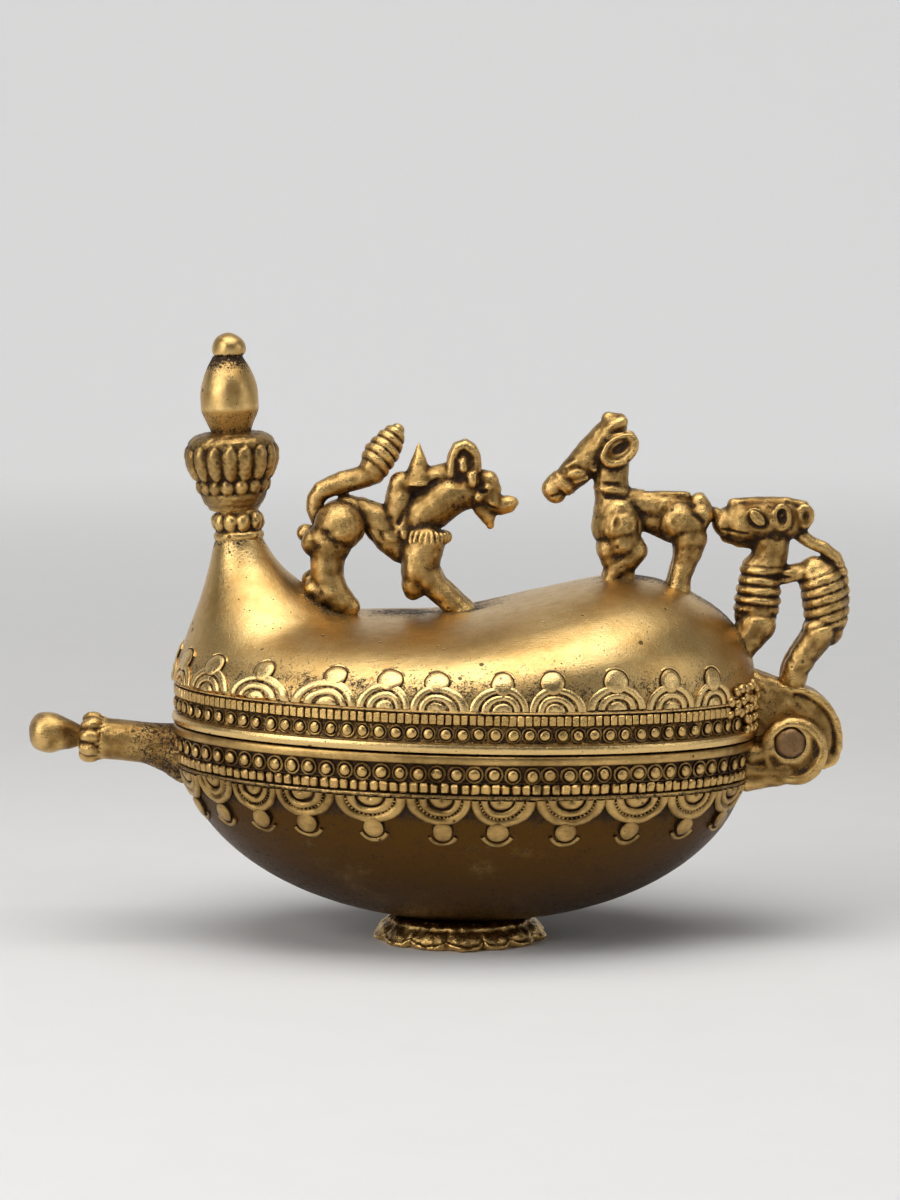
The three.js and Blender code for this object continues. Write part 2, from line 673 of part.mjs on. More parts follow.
function finialCup() {
  return lobedBody(CUP_SHARES, CUP_HEIGHT, CUP_RADIUS, CUP_PETALS, LOBE_DEPTH);
}

function finialUrn() {
  return turnedBody(URN_SHARES.map(([up, out]) => [up * URN_HEIGHT, out * URN_RADIUS]));
}

function finialCap() {
  return turnedBody(CAP_SHARES.map(([up, out]) => [up * CAP_HEIGHT, out * CAP_RADIUS]));
}

// A limb: rings square to the line through its stations, with a small ring past each end
function limb(stations) {
  const points = stations.map(([x, y, z]) => new THREE.Vector3(x, y, z));
  const last = points.length - 1;
  const heading = points.map((_, at) => {
    return points[Math.min(at + 1, last)].clone().sub(points[Math.max(at - 1, 0)]).normalize();
  });
  const ring = (at, shift, radius) => {
    const ahead = heading[at];
    const aside = new THREE.Vector3(0, 1, 0).addScaledVector(ahead, -ahead.y).normalize();
    const up = ahead.clone().cross(aside);
    const centre = points[at].clone().addScaledVector(ahead, shift);
    return Array.from({ length: LIMB_SIDES }, (_, side) => {
      const turn = (2 * Math.PI * (side + 0.5)) / LIMB_SIDES;
      const spoke = aside.clone().multiplyScalar(radius * Math.cos(turn));
      return spoke.addScaledVector(up, radius * Math.sin(turn)).add(centre);
    });
  };
  const fullness = 1 / Math.cos(Math.PI / LIMB_SIDES);
  const radii = stations.map((station) => station[3] * fullness);
  const rings = radii.map((radius, at) => ring(at, 0, radius));
  rings.unshift(ring(0, -radii[0] * TIP_REACH_SHARE, radii[0] * TIP_RADIUS_SHARE));
  rings.push(ring(last, radii[last] * TIP_REACH_SHARE, radii[last] * TIP_RADIUS_SHARE));
  return toSolid(loft(rings));
}

// All limbs of an animal joined, standing where the lid's crest is at its own place along the lid
function figureSolid(shares, standX, grow) {
  const endShare = Math.abs(standX) / RIM_HALF_LENGTH;
  const crest = fullCrest(standX) * (1 - endShare ** CREST_POWER) ** (1 / CREST_POWER);
  const standZ = RIM_HEIGHT + BAND_RISE + crest;
  const placed = (side) => ([along, aside, up, radius]) => [
    standX + along * FIGURE_SPAN,
    side * aside * FIGURE_SPAN,
    standZ + up * FIGURE_SPAN,
    radius * FIGURE_SPAN + grow,
  ];
  const single = Object.values(shares.single).map((stations) => limb(stations.map(placed(1))));
  const paired = [-1, 1].flatMap((side) => {
    return Object.values(shares.paired).map((stations) => limb(stations.map(placed(side))));
  });
  return wasm.Manifold.union([...single, ...paired]);
}

function lionFigure() {
  return toGeometry(figureSolid(LION_SHARES, LION_X, 0).subtract(lidBlock(SEAT_GAP)));
}

function deerFigure() {
  return toGeometry(figureSolid(DEER_SHARES, DEER_X, 0).subtract(lidBlock(SEAT_GAP)));
}

// The tiger's jaws close round the deer's tail, and its hind paws stand on the tongue
function tigerFigure() {
  const tiger = figureSolid(TIGER_SHARES, TIGER_X, 0);
  const deer = figureSolid(DEER_SHARES, DEER_X, SEAT_GAP);
  return toGeometry(tiger.subtract(deer).subtract(tongueSolid(SEAT_GAP)).subtract(lidBlock(SEAT_GAP)));
}

function brass(color, roughness) {
  return new THREE.MeshStandardMaterial({ color, roughness, metalness: 1 });
}

const polishedBrass = brass(0xc9a25a, 0.3);
const wornBrass = brass(0xa98545, 0.45);
const castBrass = brass(0x8f6f38, 0.55);
const darkBrass = brass(0x6b5430, 0.6);

function piece(name, geometry, material) {
  const mesh = new THREE.Mesh(geometry, material);
  mesh.name = name;
  return mesh;
}

function handleGroup() {
  const group = new THREE.Group();
  group.applyMatrix4(handleMatrix());
  const collar = piece('handle_collar', handleCollar(), castBrass);
  collar.position.z = STEM_LENGTH + SEAT_GAP;
  const knob = piece('handle_knob', handleKnob(), castBrass);
  knob.position.z = collar.position.z + HANDLE_COLLAR_LENGTH + SEAT_GAP;
  group.add(collar, knob);
  return group;
}

function finialGroup() {
  const group = new THREE.Group();
  group.position.copy(lifted(neckTop(SEAT_GAP)));
  group.rotation.y = FINIAL_LEAN;
  const stack = [
    [piece('finial_collar', finialCollar(), wornBrass), COLLAR_HEIGHT],
    [piece('finial_lotus_cup', finialCup(), wornBrass), CUP_HEIGHT],
    [piece('finial_urn', finialUrn(), polishedBrass), URN_HEIGHT],
    [piece('finial_cap', finialCap(), polishedBrass), CAP_HEIGHT],
  ];
  let z = 0;
  for (const [mesh, height] of stack) {
    mesh.position.z = z;
    group.add(mesh);
    z += height + SEAT_GAP;
  }
  return group;
}

function pinPiece() {
  const pin = piece('hinge_pin', hingePin(), darkBrass);
  pin.position.set(HINGE_X, 0, HINGE_Z);
  return pin;
}

const box = new THREE.Group();
const leaning = new THREE.Group();
leaning.rotation.y = LEAN;
leaning.add(
  piece('bowl_shell', bowlShell(), wornBrass),
  piece('bowl_bead_course', beadCourse(hullRing, BOWL_COURSE_OPENING), wornBrass),
  piece('bowl_rope_course', ropeCourse(hullRing, BOWL_COURSE_OPENING), wornBrass),
  piece('handle_stem', handleStem(), castBrass),
  handleGroup(),
  piece('hinge_ear_front', hingeEarAt(-1), castBrass),
  piece('hinge_ear_rear', hingeEarAt(1), castBrass),
  pinPiece(),
  piece('lid_shell', lidShell(), polishedBrass),
  piece('lid_bead_course', beadCourse(lidBandRing, LID_COURSE_OPENING), wornBrass),
  piece('lid_rope_course', ropeCourse(lidBandRing, LID_COURSE_OPENING), wornBrass),
  piece('hinge_tongue', hingeTongue(), castBrass),
  finialGroup(),
  piece('lion_figure', lionFigure(), castBrass),
  piece('deer_figure', deerFigure(), castBrass),
  piece('tiger_figure', tigerFigure(), castBrass),
);
box.add(piece('foot', foot(), castBrass), leaning);

export default box;
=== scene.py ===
# Sindoor box in cast brass: a boat-shaped bowl, a lid with a tall finial and three animals, a pin hinge.
# The tables hold millimetres in the box's own level frame, which leans a little on its foot.
import math

import bpy
import numpy as np
from mathutils import Euler, Matrix, Vector


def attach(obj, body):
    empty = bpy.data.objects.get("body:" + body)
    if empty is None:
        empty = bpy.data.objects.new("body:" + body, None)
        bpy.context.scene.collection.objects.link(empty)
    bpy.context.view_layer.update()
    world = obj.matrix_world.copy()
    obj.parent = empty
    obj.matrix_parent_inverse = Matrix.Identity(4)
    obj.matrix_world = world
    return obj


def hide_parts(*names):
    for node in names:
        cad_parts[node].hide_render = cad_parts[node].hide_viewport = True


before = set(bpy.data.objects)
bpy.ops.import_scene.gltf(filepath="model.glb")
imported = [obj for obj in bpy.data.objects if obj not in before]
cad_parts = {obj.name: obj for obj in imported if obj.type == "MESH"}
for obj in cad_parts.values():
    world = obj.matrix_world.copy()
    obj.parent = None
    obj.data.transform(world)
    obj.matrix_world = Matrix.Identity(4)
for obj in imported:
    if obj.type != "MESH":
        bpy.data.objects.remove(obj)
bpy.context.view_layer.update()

MM = 0.001
LEAN = math.radians(1.4)
LEANING = Matrix.Rotation(LEAN, 4, "Y")
TURN = 2 * math.pi

# Bowl and lid
RIM_X, RIM_Y, RIM_Z = 58.6, 38.8, 42.9
HULL_DEPTH, HULL_POWER = 38.9, 2.13
WALL = 2.5
BAND_RISE = 8.7
BAND_Z = RIM_Z + BAND_RISE
LOW_CREST, HIGH_CREST = 14.6, 27.1
SWELL_START, SWELL_END = -9.96, 43.95
CREST_POWER, SECTION_POWER = 2.4, 2.1
NECK_HEIGHT, NECK_FOOT_RADIUS, NECK_TOP_RADIUS = 36.9, 25.5, 4.85
NECK_FOOT_X, NECK_TOP_X = -34, -46.35
SPRING_X = -38
BLEND_POWER = 8
# Rows of the neck: share of its height, share of its flare, share of its lean
NECK_TABLE = [
    (0, 1, 0), (0.27, 0.855, 0.22), (0.54, 0.564, 0.42), (0.68, 0.37, 0.6), (0.86, 0.12, 0.88), (1, 0, 1),
]
SHELL_SIDES = 256
DOME_ROWS = 84
LINING_ROWS = 30
HULL_ROWS = 44
GROUND_DEPTH = 0.3
SEAM_HALF = 0.15
LINING_SHARE = 0.975

# Profiles of the band from the seam outward: rise from the seam, outset from the wall
LID_BAND = [
    (0.15, -1.2), (0.17, -0.1), (0.3, 0.3), (0.6, 0.54), (1.05, 0.64), (1.5, 0.6), (1.9, 0.42), (2.15, 0.1),
    (2.3, -0.5), (2.5, -0.62), (5.3, -0.62), (5.42, -0.25), (5.62, -0.25), (5.74, -0.62), (7.8, -0.62),
    (7.92, -0.1), (8.1, 0.2), (8.35, 0.3), (8.6, 0.15), (8.7, -0.3),
]
BOWL_BAND = [
    (0.15, -1.2), (0.17, -0.15), (0.3, 0.08), (0.55, 0.2), (1.1, 0.24), (1.7, 0.18), (2.0, -0.02),
    (2.2, -0.5), (2.45, -0.62), (5.3, -0.62), (5.42, -0.25), (5.62, -0.25), (5.74, -0.62), (7.8, -0.62),
    (7.92, -0.1), (8.1, 0.25), (8.4, 0.38), (8.75, 0.2), (8.9, -0.3),
]

FINIAL_LEAN = math.radians(-4)
HANDLE_RISE = math.radians(4.9)
HANDLE_Z = 37.6
HINGE_X, HINGE_Z = 65, 42.4
BORE_RADIUS, BORE_REACH = 3.3, 8
EAR_X, EAR_Y, EAR_Z = 65.8, 6.75, 40.7
TONGUE_HALF = 3.95


# Modelling helpers
def pick(obj):
    bpy.ops.object.select_all(action="DESELECT")
    obj.select_set(True)
    bpy.context.view_layer.objects.active = obj


def edit(obj):
    pick(obj)
    bpy.ops.object.mode_set(mode="EDIT")
    bpy.ops.mesh.select_all(action="SELECT")


def leave(obj, outward=True):
    if outward:
        bpy.ops.mesh.select_all(action="SELECT")
        bpy.ops.mesh.normals_make_consistent(inside=False)
    bpy.ops.object.mode_set(mode="OBJECT")
    return obj


def named(name):
    obj = bpy.context.active_object
    obj.name = name
    obj.data.name = name
    return obj


def points_of(obj):
    points = np.empty(len(obj.data.vertices) * 3)
    obj.data.vertices.foreach_get("co", points)
    return points.reshape(-1, 3)


def set_points(obj, points):
    obj.data.vertices.foreach_set("co", np.asarray(points, np.float32).ravel())
    obj.data.update()


def normals_of(obj):
    normals = np.empty(len(obj.data.vertices) * 3)
    obj.data.vertices.foreach_get("normal", normals)
    return normals.reshape(-1, 3)


def disc(name, radius, z, sides):
    bpy.ops.object.select_all(action="DESELECT")
    middle = (0, 0, z * MM)
    bpy.ops.mesh.primitive_circle_add(vertices=sides, radius=radius * MM, fill_type="NGON", location=middle)
    return named(name)


def turned(name, rings, sides=48):
    """A turned body on the Z axis: a disc drawn up from ring to ring, each given as height and radius."""
    obj = disc(name, rings[0][1], 0, sides)
    set_points(obj, points_of(obj) + np.array((0, 0, rings[0][0] * MM)))
    obj.location = (0, 0, 0)
    edit(obj)
    for (low, narrow), (high, wide) in zip(rings, rings[1:]):
        bpy.ops.mesh.extrude_region_move(TRANSFORM_OT_translate={"value": (0, 0, (high - low) * MM)})
        share = wide / narrow
        bpy.ops.transform.resize(value=(share, share, 1), center_override=(0, 0, high * MM))
    return leave(obj)


def drawn(name, rows):
    """A plain tube with one loop of edges for each row, each loop then laid on its row of points."""
    sides = len(rows[0])
    tall = len(rows) - 1
    obj = disc(name, 1 / MM, 0, sides)
    edit(obj)
    bpy.ops.mesh.extrude_region_move(TRANSFORM_OT_translate={"value": (0, 0, tall)})
    bpy.ops.mesh.select_mode(type="EDGE")
    bpy.ops.mesh.select_all(action="DESELECT")
    bpy.ops.object.mode_set(mode="OBJECT")
    heights = points_of(obj)[:, 2]
    for edge in obj.data.edges:
        edge.select = bool(abs(heights[edge.vertices[0]] - heights[edge.vertices[1]]) > tall / 2)
    bpy.ops.object.mode_set(mode="EDIT")
    bpy.ops.mesh.subdivide(number_cuts=tall - 1)
    bpy.ops.mesh.select_mode(type="VERT")
    leave(obj, outward=False)
    points = points_of(obj)
    row = np.rint(points[:, 2]).astype(int)
    side = np.rint(np.arctan2(points[:, 1], points[:, 0]) / TURN * sides).astype(int) % sides
    set_points(obj, np.array(rows)[row, side] * MM)
    edit(obj)
    return leave(obj)


def place(obj, matrix):
    """Lays a piece in its place in the mesh itself, so that its object stays at the origin."""
    pick(obj)
    obj.matrix_world = matrix
    bpy.ops.object.transform_apply(location=True, rotation=True, scale=True)
    return obj


def modified(obj, kind, **settings):
    pick(obj)
    modifier = obj.modifiers.new(kind.title(), kind)
    for key, value in settings.items():
        setattr(modifier, key, value)
    bpy.ops.object.modifier_apply(modifier=modifier.name)
    return obj


def fused(obj, voxel, passes, factor=0.5):
    """Runs overlapping forms into one skin, as wax does, and softens it."""
    modified(obj, "REMESH", mode="VOXEL", voxel_size=voxel * MM)
    if passes:
        modified(obj, "SMOOTH", factor=factor, iterations=passes)
    return obj


def joined(name, objects):
    pick(objects[0])
    for obj in objects[1:]:
        obj.select_set(True)
    bpy.ops.object.join()
    return named(name)


def copied(obj):
    twin = obj.copy()
    twin.data = obj.data.copy()
    bpy.context.collection.objects.link(twin)
    return twin


class Wax:
    """Balls, bars and rings laid together one by one, then joined and run into one skin."""

    patterns = {}

    def __init__(self):
        self.parts = []

    @classmethod
    def pattern(cls, kind):
        """The plain ball, bar and ring that the forms are copied from, each modelled once."""
        if kind not in cls.patterns:
            bpy.ops.object.select_all(action="DESELECT")
            if kind == "ball":
                bpy.ops.mesh.primitive_uv_sphere_add(segments=20, ring_count=14, radius=1)
            elif kind == "bar":
                bpy.ops.mesh.primitive_cylinder_add(vertices=20, radius=1, depth=1)
            else:
                bpy.ops.mesh.primitive_torus_add(
                    major_segments=40, minor_segments=10, major_radius=1, minor_radius=0.25
                )
            cls.patterns[kind] = named("pattern_" + kind)
        return cls.patterns[kind]

    @classmethod
    def clear(cls):
        for obj in cls.patterns.values():
            bpy.data.objects.remove(obj)
        cls.patterns = {}

    def add(self, kind, shaped, centre, turn):
        twin = copied(self.pattern(kind))
        points = shaped(points_of(twin)) @ np.array(turn.to_matrix()).T + centre
        set_points(twin, points * MM)
        self.parts.append(twin)

    def ball(self, centre, radius, shape=(1, 1, 1), turn=(0, 0, 0)):
        self.add("ball", lambda p: p * radius * np.array(shape), centre, Euler(turn))

    def bar(self, start, end):
        a, b = Vector(start[:3]), Vector(end[:3])

        def tapered(p):
            radius = start[3] + (end[3] - start[3]) * (p[:, 2] + 0.5)
            return p * np.stack([radius, radius, np.full(len(p), (b - a).length)], 1)

        self.add("bar", tapered, (a + b) / 2, (b - a).to_track_quat("Z", "Y"))

    def ring(self, centre, major, minor, shape=(1, 1, 1), turn=(0, 0, 0)):
        def laid(p):
            out = np.hypot(p[:, 0], p[:, 1])
            angle = np.arctan2(p[:, 2], out - 1)
            radius = major + minor * np.cos(angle)
            return np.array(shape) * np.stack(
                [p[:, 0] / out * radius, p[:, 1] / out * radius, minor * np.sin(angle)], 1
            )

        self.add("ring", laid, centre, Euler(turn))

    def limb(self, *stations):
        """Balls along a line of stations (x, y, z, radius) with tapered bars between them."""
        for x, y, z, radius in stations:
            self.ball((x, y, z), radius)
        for start, end in zip(stations, stations[1:]):
            self.bar(start, end)

    def pair(self, *stations):
        self.limb(*stations)
        self.limb(*[(x, -y, z, radius) for x, y, z, radius in stations])

    def joined(self, name):
        return joined(name, self.parts)


# The lid's surface, as in the frame: a dome that swells toward the hinge, run into a leaning neck
def smooth_step(value, low, high):
    share = np.clip((value - low) / (high - low), 0, 1)
    return share * share * (3 - 2 * share)


def halved(low, high, below, steps):
    """Closes in on the place between two others where a test stops being true."""
    for _ in range(steps):
        middle = (low + high) / 2
        under = below(middle)
        low, high = np.where(under, middle, low), np.where(under, high, middle)
    return low, high


def crest(x):
    return LOW_CREST + (HIGH_CREST - LOW_CREST) * smooth_step(x, SWELL_START, SWELL_END)


def smooth_columns():
    """The table's flare and lean on a smooth line, read off at close steps."""
    knots, *columns = np.array(NECK_TABLE).T
    height = np.linspace(0, 1, 401)
    at = np.clip(np.searchsorted(knots, height, side="right") - 1, 0, len(knots) - 2)
    span = knots[at + 1] - knots[at]
    t = (height - knots[at]) / span
    out = [height]
    for values in columns:
        slopes = np.gradient(values, knots)
        out.append(
            (2 * t**3 - 3 * t**2 + 1) * values[at]
            + (t**3 - 2 * t**2 + t) * span * slopes[at]
            + (3 * t**2 - 2 * t**3) * values[at + 1]
            + (t**3 - t**2) * span * slopes[at + 1]
        )
    return out


NECK_SHARES, NECK_FLARES, NECK_LEANS = smooth_columns()


def lid_gauge(p, grow=0):
    """Below 1 inside the lid, 1 on it. Heights are over the band."""
    x, y, z = p[..., 0], p[..., 1], p[..., 2]
    end = np.minimum(np.abs(x) / (RIM_X + grow), 0.99999)
    width = (RIM_Y + grow) * np.sqrt(1 - end**2)
    height = (crest(x) + grow) * (1 - end**CREST_POWER) ** (1 / CREST_POWER)
    dome = (np.abs(y) / width) ** SECTION_POWER + (np.maximum(z, 0) / height) ** SECTION_POWER
    dome = np.maximum(dome ** (1 / SECTION_POWER), 1e-6)
    dome = np.where(np.abs(x) >= RIM_X + grow, 1e3, dome)
    share = np.clip((z + BAND_RISE) / NECK_HEIGHT, 0, 1)
    flare, lean = np.interp(share, NECK_SHARES, NECK_FLARES), np.interp(share, NECK_SHARES, NECK_LEANS)
    radius = NECK_TOP_RADIUS + (NECK_FOOT_RADIUS - NECK_TOP_RADIUS) * flare + grow
    axis = NECK_FOOT_X + lean * (NECK_TOP_X - NECK_FOOT_X)
    neck = np.maximum(np.hypot(x - axis, y) / radius, 1e-6)
    return (dome**-BLEND_POWER + neck**-BLEND_POWER) ** (-1 / BLEND_POWER)


def march(origin, directions, grow=0, reach=130.0):
    """Where rays from a point inside the lid meet its surface."""
    inside = np.zeros(directions.shape[:-1])
    rise = np.maximum(directions[..., 2], 1e-6)
    outside = np.minimum(reach, (NECK_HEIGHT - BAND_RISE + grow + 0.4 - origin[2]) / rise)

    def below(way):
        return lid_gauge(origin + directions * way[..., None], grow) < 1

    return origin + directions * halved(inside, outside, below, 26)[0][..., None]


def oval(half_x, half_y, z, sides=SHELL_SIDES):
    turn = np.arange(sides) * TURN / sides
    return np.stack([half_x * np.cos(turn), half_y * np.sin(turn), np.full(sides, float(z))], 1)


def neck_top(grow=0):
    axis = np.array((math.sin(FINIAL_LEAN), 0, math.cos(FINIAL_LEAN)))
    return np.array((NECK_TOP_X, 0, NECK_HEIGHT - BAND_RISE)) + grow * axis


def neck_ring(radius, grow=0):
    points = oval(radius, radius, 0)
    turned_x = points[:, 0] * math.cos(FINIAL_LEAN)
    turned_z = -points[:, 0] * math.sin(FINIAL_LEAN)
    return np.stack([turned_x, points[:, 1], turned_z], 1) + neck_top(grow)


def dome_rows(rows, grow=0, power=1.2):
    spring = np.array((SPRING_X, 0, 0))
    start = oval(RIM_X + min(grow, 0), RIM_Y + min(grow, 0), 0) - spring
    end = neck_ring(NECK_TOP_RADIUS + min(grow, 0), min(grow, 0)) - spring
    start /= np.linalg.norm(start, axis=1)[:, None]
    end /= np.linalg.norm(end, axis=1)[:, None]
    angle = np.arccos(np.clip((start * end).sum(1), -1, 1))[:, None]
    out = []
    for row in range(1, rows):
        share = (row / rows) ** power
        mixed = (np.sin((1 - share) * angle) * start + np.sin(share * angle) * end) / np.sin(angle)
        out.append(march(spring, mixed, grow))
    return out


RIM_TURNS = np.linspace(math.pi, 3 * math.pi, 4001)
RIM_STEPS = np.diff([RIM_X * np.cos(RIM_TURNS), RIM_Y * np.sin(RIM_TURNS)])
RIM_ARC = np.concatenate([[0], np.cumsum(np.hypot(*RIM_STEPS))])


def turn_at(along):
    """The turn round the rim at a length along it, from the handle end by the front to the hinge."""
    return np.interp(np.mod(along, RIM_ARC[-1]), RIM_ARC, RIM_TURNS)


def band_outset(profile, rise):
    rises, outsets = zip(*profile)
    return np.interp(rise, rises, outsets)


def recess(height):
    """How far the stippled ground lies under the polished skin at a height past the band."""
    return -GROUND_DEPTH * (1 - smooth_step(height, 4, 11))


def slope_of(inside, point, step=0.05):
    slope = np.stack([inside(point + step * axis) - inside(point - step * axis) for axis in np.eye(3)], -1)
    return slope / np.linalg.norm(slope, axis=-1)[..., None]


def lid_inside(p):
    """Below 1 within the lid's outer skin, at any height over the seam."""
    over = p - (0, 0, BAND_Z)
    band = np.hypot(p[..., 0] / RIM_X, p[..., 1] / RIM_Y)
    return np.where(over[..., 2] <= 0, band, lid_gauge(over))


def lid_spot(along, rise):
    """A point of the lid's skin at a length along the rim and a height over the seam."""
    turn = float(turn_at(along))
    flat = np.array((RIM_X * math.cos(turn), RIM_Y * math.sin(turn), 0))
    level = np.array((0, 0, RIM_Z + rise))
    inside, _ = halved(0.0, 1.3, lambda share: lid_inside(flat * share + level) < 1, 24)
    return flat * inside + level, turn


def hull_share(depth, inset=0.0):
    full = HULL_DEPTH - inset
    return (1 - np.clip(depth / full, 0, 1) ** HULL_POWER) ** (1 / HULL_POWER)


def bowl_inside(p):
    """Below 1 within the bowl's outer skin."""
    level = np.hypot(p[..., 0] / RIM_X, p[..., 1] / RIM_Y)
    deep = np.clip((RIM_Z - p[..., 2]) / HULL_DEPTH, 0, None)
    return (level**HULL_POWER + deep**HULL_POWER) ** (1 / HULL_POWER)


def bowl_spot(along, depth):
    turn = float(turn_at(along))
    share = float(hull_share(depth))
    return np.array((RIM_X * share * math.cos(turn), RIM_Y * share * math.sin(turn), RIM_Z - depth)), turn


LID = (lid_spot, lid_inside, 1)
BOWL = (bowl_spot, bowl_inside, -1)


def wrapped(obj, shell, stations, rise, copies):
    """Lays flat ornaments on a curved skin: x along the band, y away from the seam, z outward."""
    spot, inside, way = shell
    frames = []
    for along, _, _ in stations:
        centre, turn = spot(along, rise)
        level = np.array((math.cos(turn) / RIM_X, math.sin(turn) / RIM_Y, 0))
        level /= np.linalg.norm(level)
        outward = level if rise <= BAND_RISE + 0.3 else slope_of(inside, centre)
        across = np.cross((0, 0, 1), outward)
        across *= way / np.linalg.norm(across)
        frames.append((centre, across, np.cross(outward, across), outward))
    each = len(obj.data.vertices) // copies
    columns = np.array(frames).transpose(1, 0, 2)
    centre, across, away, outward = (np.repeat(column, each, axis=0) for column in columns)
    flat = points_of(obj) / MM

    def laid(x, y):
        start = centre + x[:, None] * across + y[:, None] * away
        deep, shallow = np.full(len(x), -9.0), np.full(len(x), 3.0)
        rise_to, _ = halved(deep, shallow, lambda out: inside(start + out[:, None] * outward) < 1, 18)
        return start + rise_to[:, None] * outward

    step = 0.12
    x, y = flat[:, 0], flat[:, 1]
    point = laid(x, y)
    normal = np.cross(laid(x + step, y) - laid(x - step, y), laid(x, y + step) - laid(x, y - step))
    normal /= np.linalg.norm(normal, axis=1)[:, None]
    set_points(obj, (point + normal * flat[:, 2:3]) * MM)
    return obj


def kept_out(obj, depth=1.9):
    """Draws a root back to the bowl's wall, so that nothing of it shows inside."""
    points = points_of(obj) / MM
    share = hull_share(np.maximum(RIM_Z - points[:, 2], 0.2))
    reach = np.hypot(points[:, 0] / RIM_X, points[:, 1] / RIM_Y) / share
    least = 1 - depth / RIM_X / share
    points[:, :2] *= np.maximum(least / reach, 1)[:, None]
    set_points(obj, points * MM)
    return obj


# Marks that the finishes read: how proud each point stands, and how much old dirt lies there, with painted
# shade added in places
def mark(obj, name, values):
    if name in obj.data.attributes:
        obj.data.attributes.remove(obj.data.attributes[name])
    attribute = obj.data.attributes.new(name, "FLOAT", "POINT")
    attribute.data.foreach_set("value", np.asarray(values, np.float32))
    return obj


def relief_of(obj, reach, span):
    """0 in a crease to 1 on a ridge, from how far each point stands off a softened copy of the skin."""
    mesh = obj.data
    points = points_of(obj)
    ends = np.empty(len(mesh.edges) * 2, int)
    mesh.edges.foreach_get("vertices", ends)
    a, b = ends.reshape(-1, 2).T
    count = np.maximum(np.bincount(a, minlength=len(points)) + np.bincount(b, minlength=len(points)), 1)
    edge = np.linalg.norm(points[a] - points[b], axis=1).mean()
    soft = points.copy()
    for _ in range(max(4, round((reach * MM / edge) ** 2))):
        for axis in range(3):
            total = np.bincount(a, soft[b, axis], len(points)) + np.bincount(b, soft[a, axis], len(points))
            soft[:, axis] = total / count
    height = ((points - soft) * normals_of(obj)).sum(1)
    return np.clip(0.5 + height / (2 * span * MM), 0, 1)


def relief_of_parts(obj, reach, span, under=0.0):
    """Creases keep their dark patina, ridges are rubbed, and what faces down is darkened as painted shade."""
    values = relief_of(obj, reach, span)
    # under darkens skin that faces down: painted shade on the undersides
    values = np.clip(values - under * smooth_step(-normals_of(obj)[:, 2], -0.3, 0.8), 0, 1)
    mark(obj, "relief", values)
    return mark(obj, "grime_and_shade", np.clip(0.9 - values * 1.25, 0, 1))


def relief_scaled(obj, share):
    """Scales the relief mark by a share, which dims or brightens the rubbed finish; on the bowl's courses the
    dimming is painted shade.
    """
    values = np.empty(len(obj.data.vertices), np.float32)
    obj.data.attributes["relief"].data.foreach_get("value", values)
    return mark(obj, "relief", values * share)


SWELLS = 14


def rough(obj, amount, size, seed):
    """Moves the skin in and out by small random swells, as on a rough casting."""
    rng = np.random.default_rng(seed)
    points = points_of(obj)
    swell = np.zeros(len(points))
    for _ in range(SWELLS):
        way = rng.normal(size=3)
        way *= TURN / (size * rng.uniform(0.7, 1.6) * MM) / np.linalg.norm(way)
        swell += np.sin(points @ way + rng.uniform(0, TURN))
    swell *= amount * MM / math.sqrt(SWELLS / 2)
    set_points(obj, points + normals_of(obj) * swell[:, None])
    return obj


# Shells
# Centre and size of each dark spot on the dome: painted shadow under the animals and the finial, with dirt
# round the brazed feet
SHADOW_AND_DIRT_SPOTS = [
    (-28, 3.6, 69, 7), (-28, -3.6, 69, 7), (-13, 0, 68, 9), (0, 3.2, 66.5, 6.5), (0, -3.2, 66.5, 6.5),
    (28.3, 2.9, 72, 4.5), (28.3, -2.9, 72, 4.5), (35, 0, 76, 7), (42, 2.8, 72, 4.5), (42, -2.8, 72, 4.5),
    (54, 3, 60, 6.5), (54, -3, 60, 6.5), (50, 0, 68, 6), (-47, 0, 80.5, 6.5), (58.5, 0, 52, 9),
]


def painted_shadow_and_dirt(points):
    """Painted shadow under the animals, round the foot of the finial and at the hinge end, with old soiling
    round the feet that are brazed to the lid.
    """
    total = np.zeros(len(points))
    for *centre, size in SHADOW_AND_DIRT_SPOTS:
        away = np.linalg.norm(points - np.array(centre), axis=1) / size
        total = np.maximum(total, np.exp(-(away**3)))
    return total


LID_UNITS = [0, 10.7, 21.4, 33.9, 49.8, 61.4, 71.1, 84.4, 94.3, 107.3, 119.3, 130.4]
BOWL_UNITS = [10.5, 21.5, 32.6, 43.7, 58.4, 72.9, 84.3, 98.7, 112.9, 127.2, 139.6]
LID_HALF, BOWL_HALF = 5.4, 6.1
LID_SQUASH, BOWL_SQUASH = 0.9, 0.89
BOWL_SCALLOP_DEPTH = 8.8
LID_BOSS_RISE, BOWL_BOSS_DEPTH = BAND_RISE + 5.2, 15.4
# Distances from the seam: the rubbed lip, the dirty ground of the band, and the end of its profile
SEAM_LINE = 0.2
LID_LIP, BOWL_LIP = 2.2, 2.1
LID_GROUND, BOWL_GROUND = 8.6, 8.4
LID_EDGE, BOWL_EDGE = 8.75, 8.95
LID_SCALLOP_END, BOWL_SCALLOP_END = 14, 15
# Way along the rim from the handle end, the same on both sides, for each turn about the middle
UNIT_TURNS = np.linspace(0, TURN, 721)
UNIT_ARC = np.interp(math.pi + np.abs(UNIT_TURNS - math.pi), RIM_TURNS, RIM_ARC)


def within_units(points, places, half, start, rise):
    """1 inside the half-oval that each scallop covers, 0 outside it."""
    along = np.interp(np.arctan2(points[:, 1] / RIM_Y, points[:, 0] / RIM_X) % TURN, UNIT_TURNS, UNIT_ARC)
    inside = np.zeros(len(points))
    for place_at in places:
        away = np.hypot((along - place_at) / half, (rise - start) / (half * 0.9))
        inside = np.maximum(inside, 1 - smooth_step(away, 0.86, 1.0))
    return inside


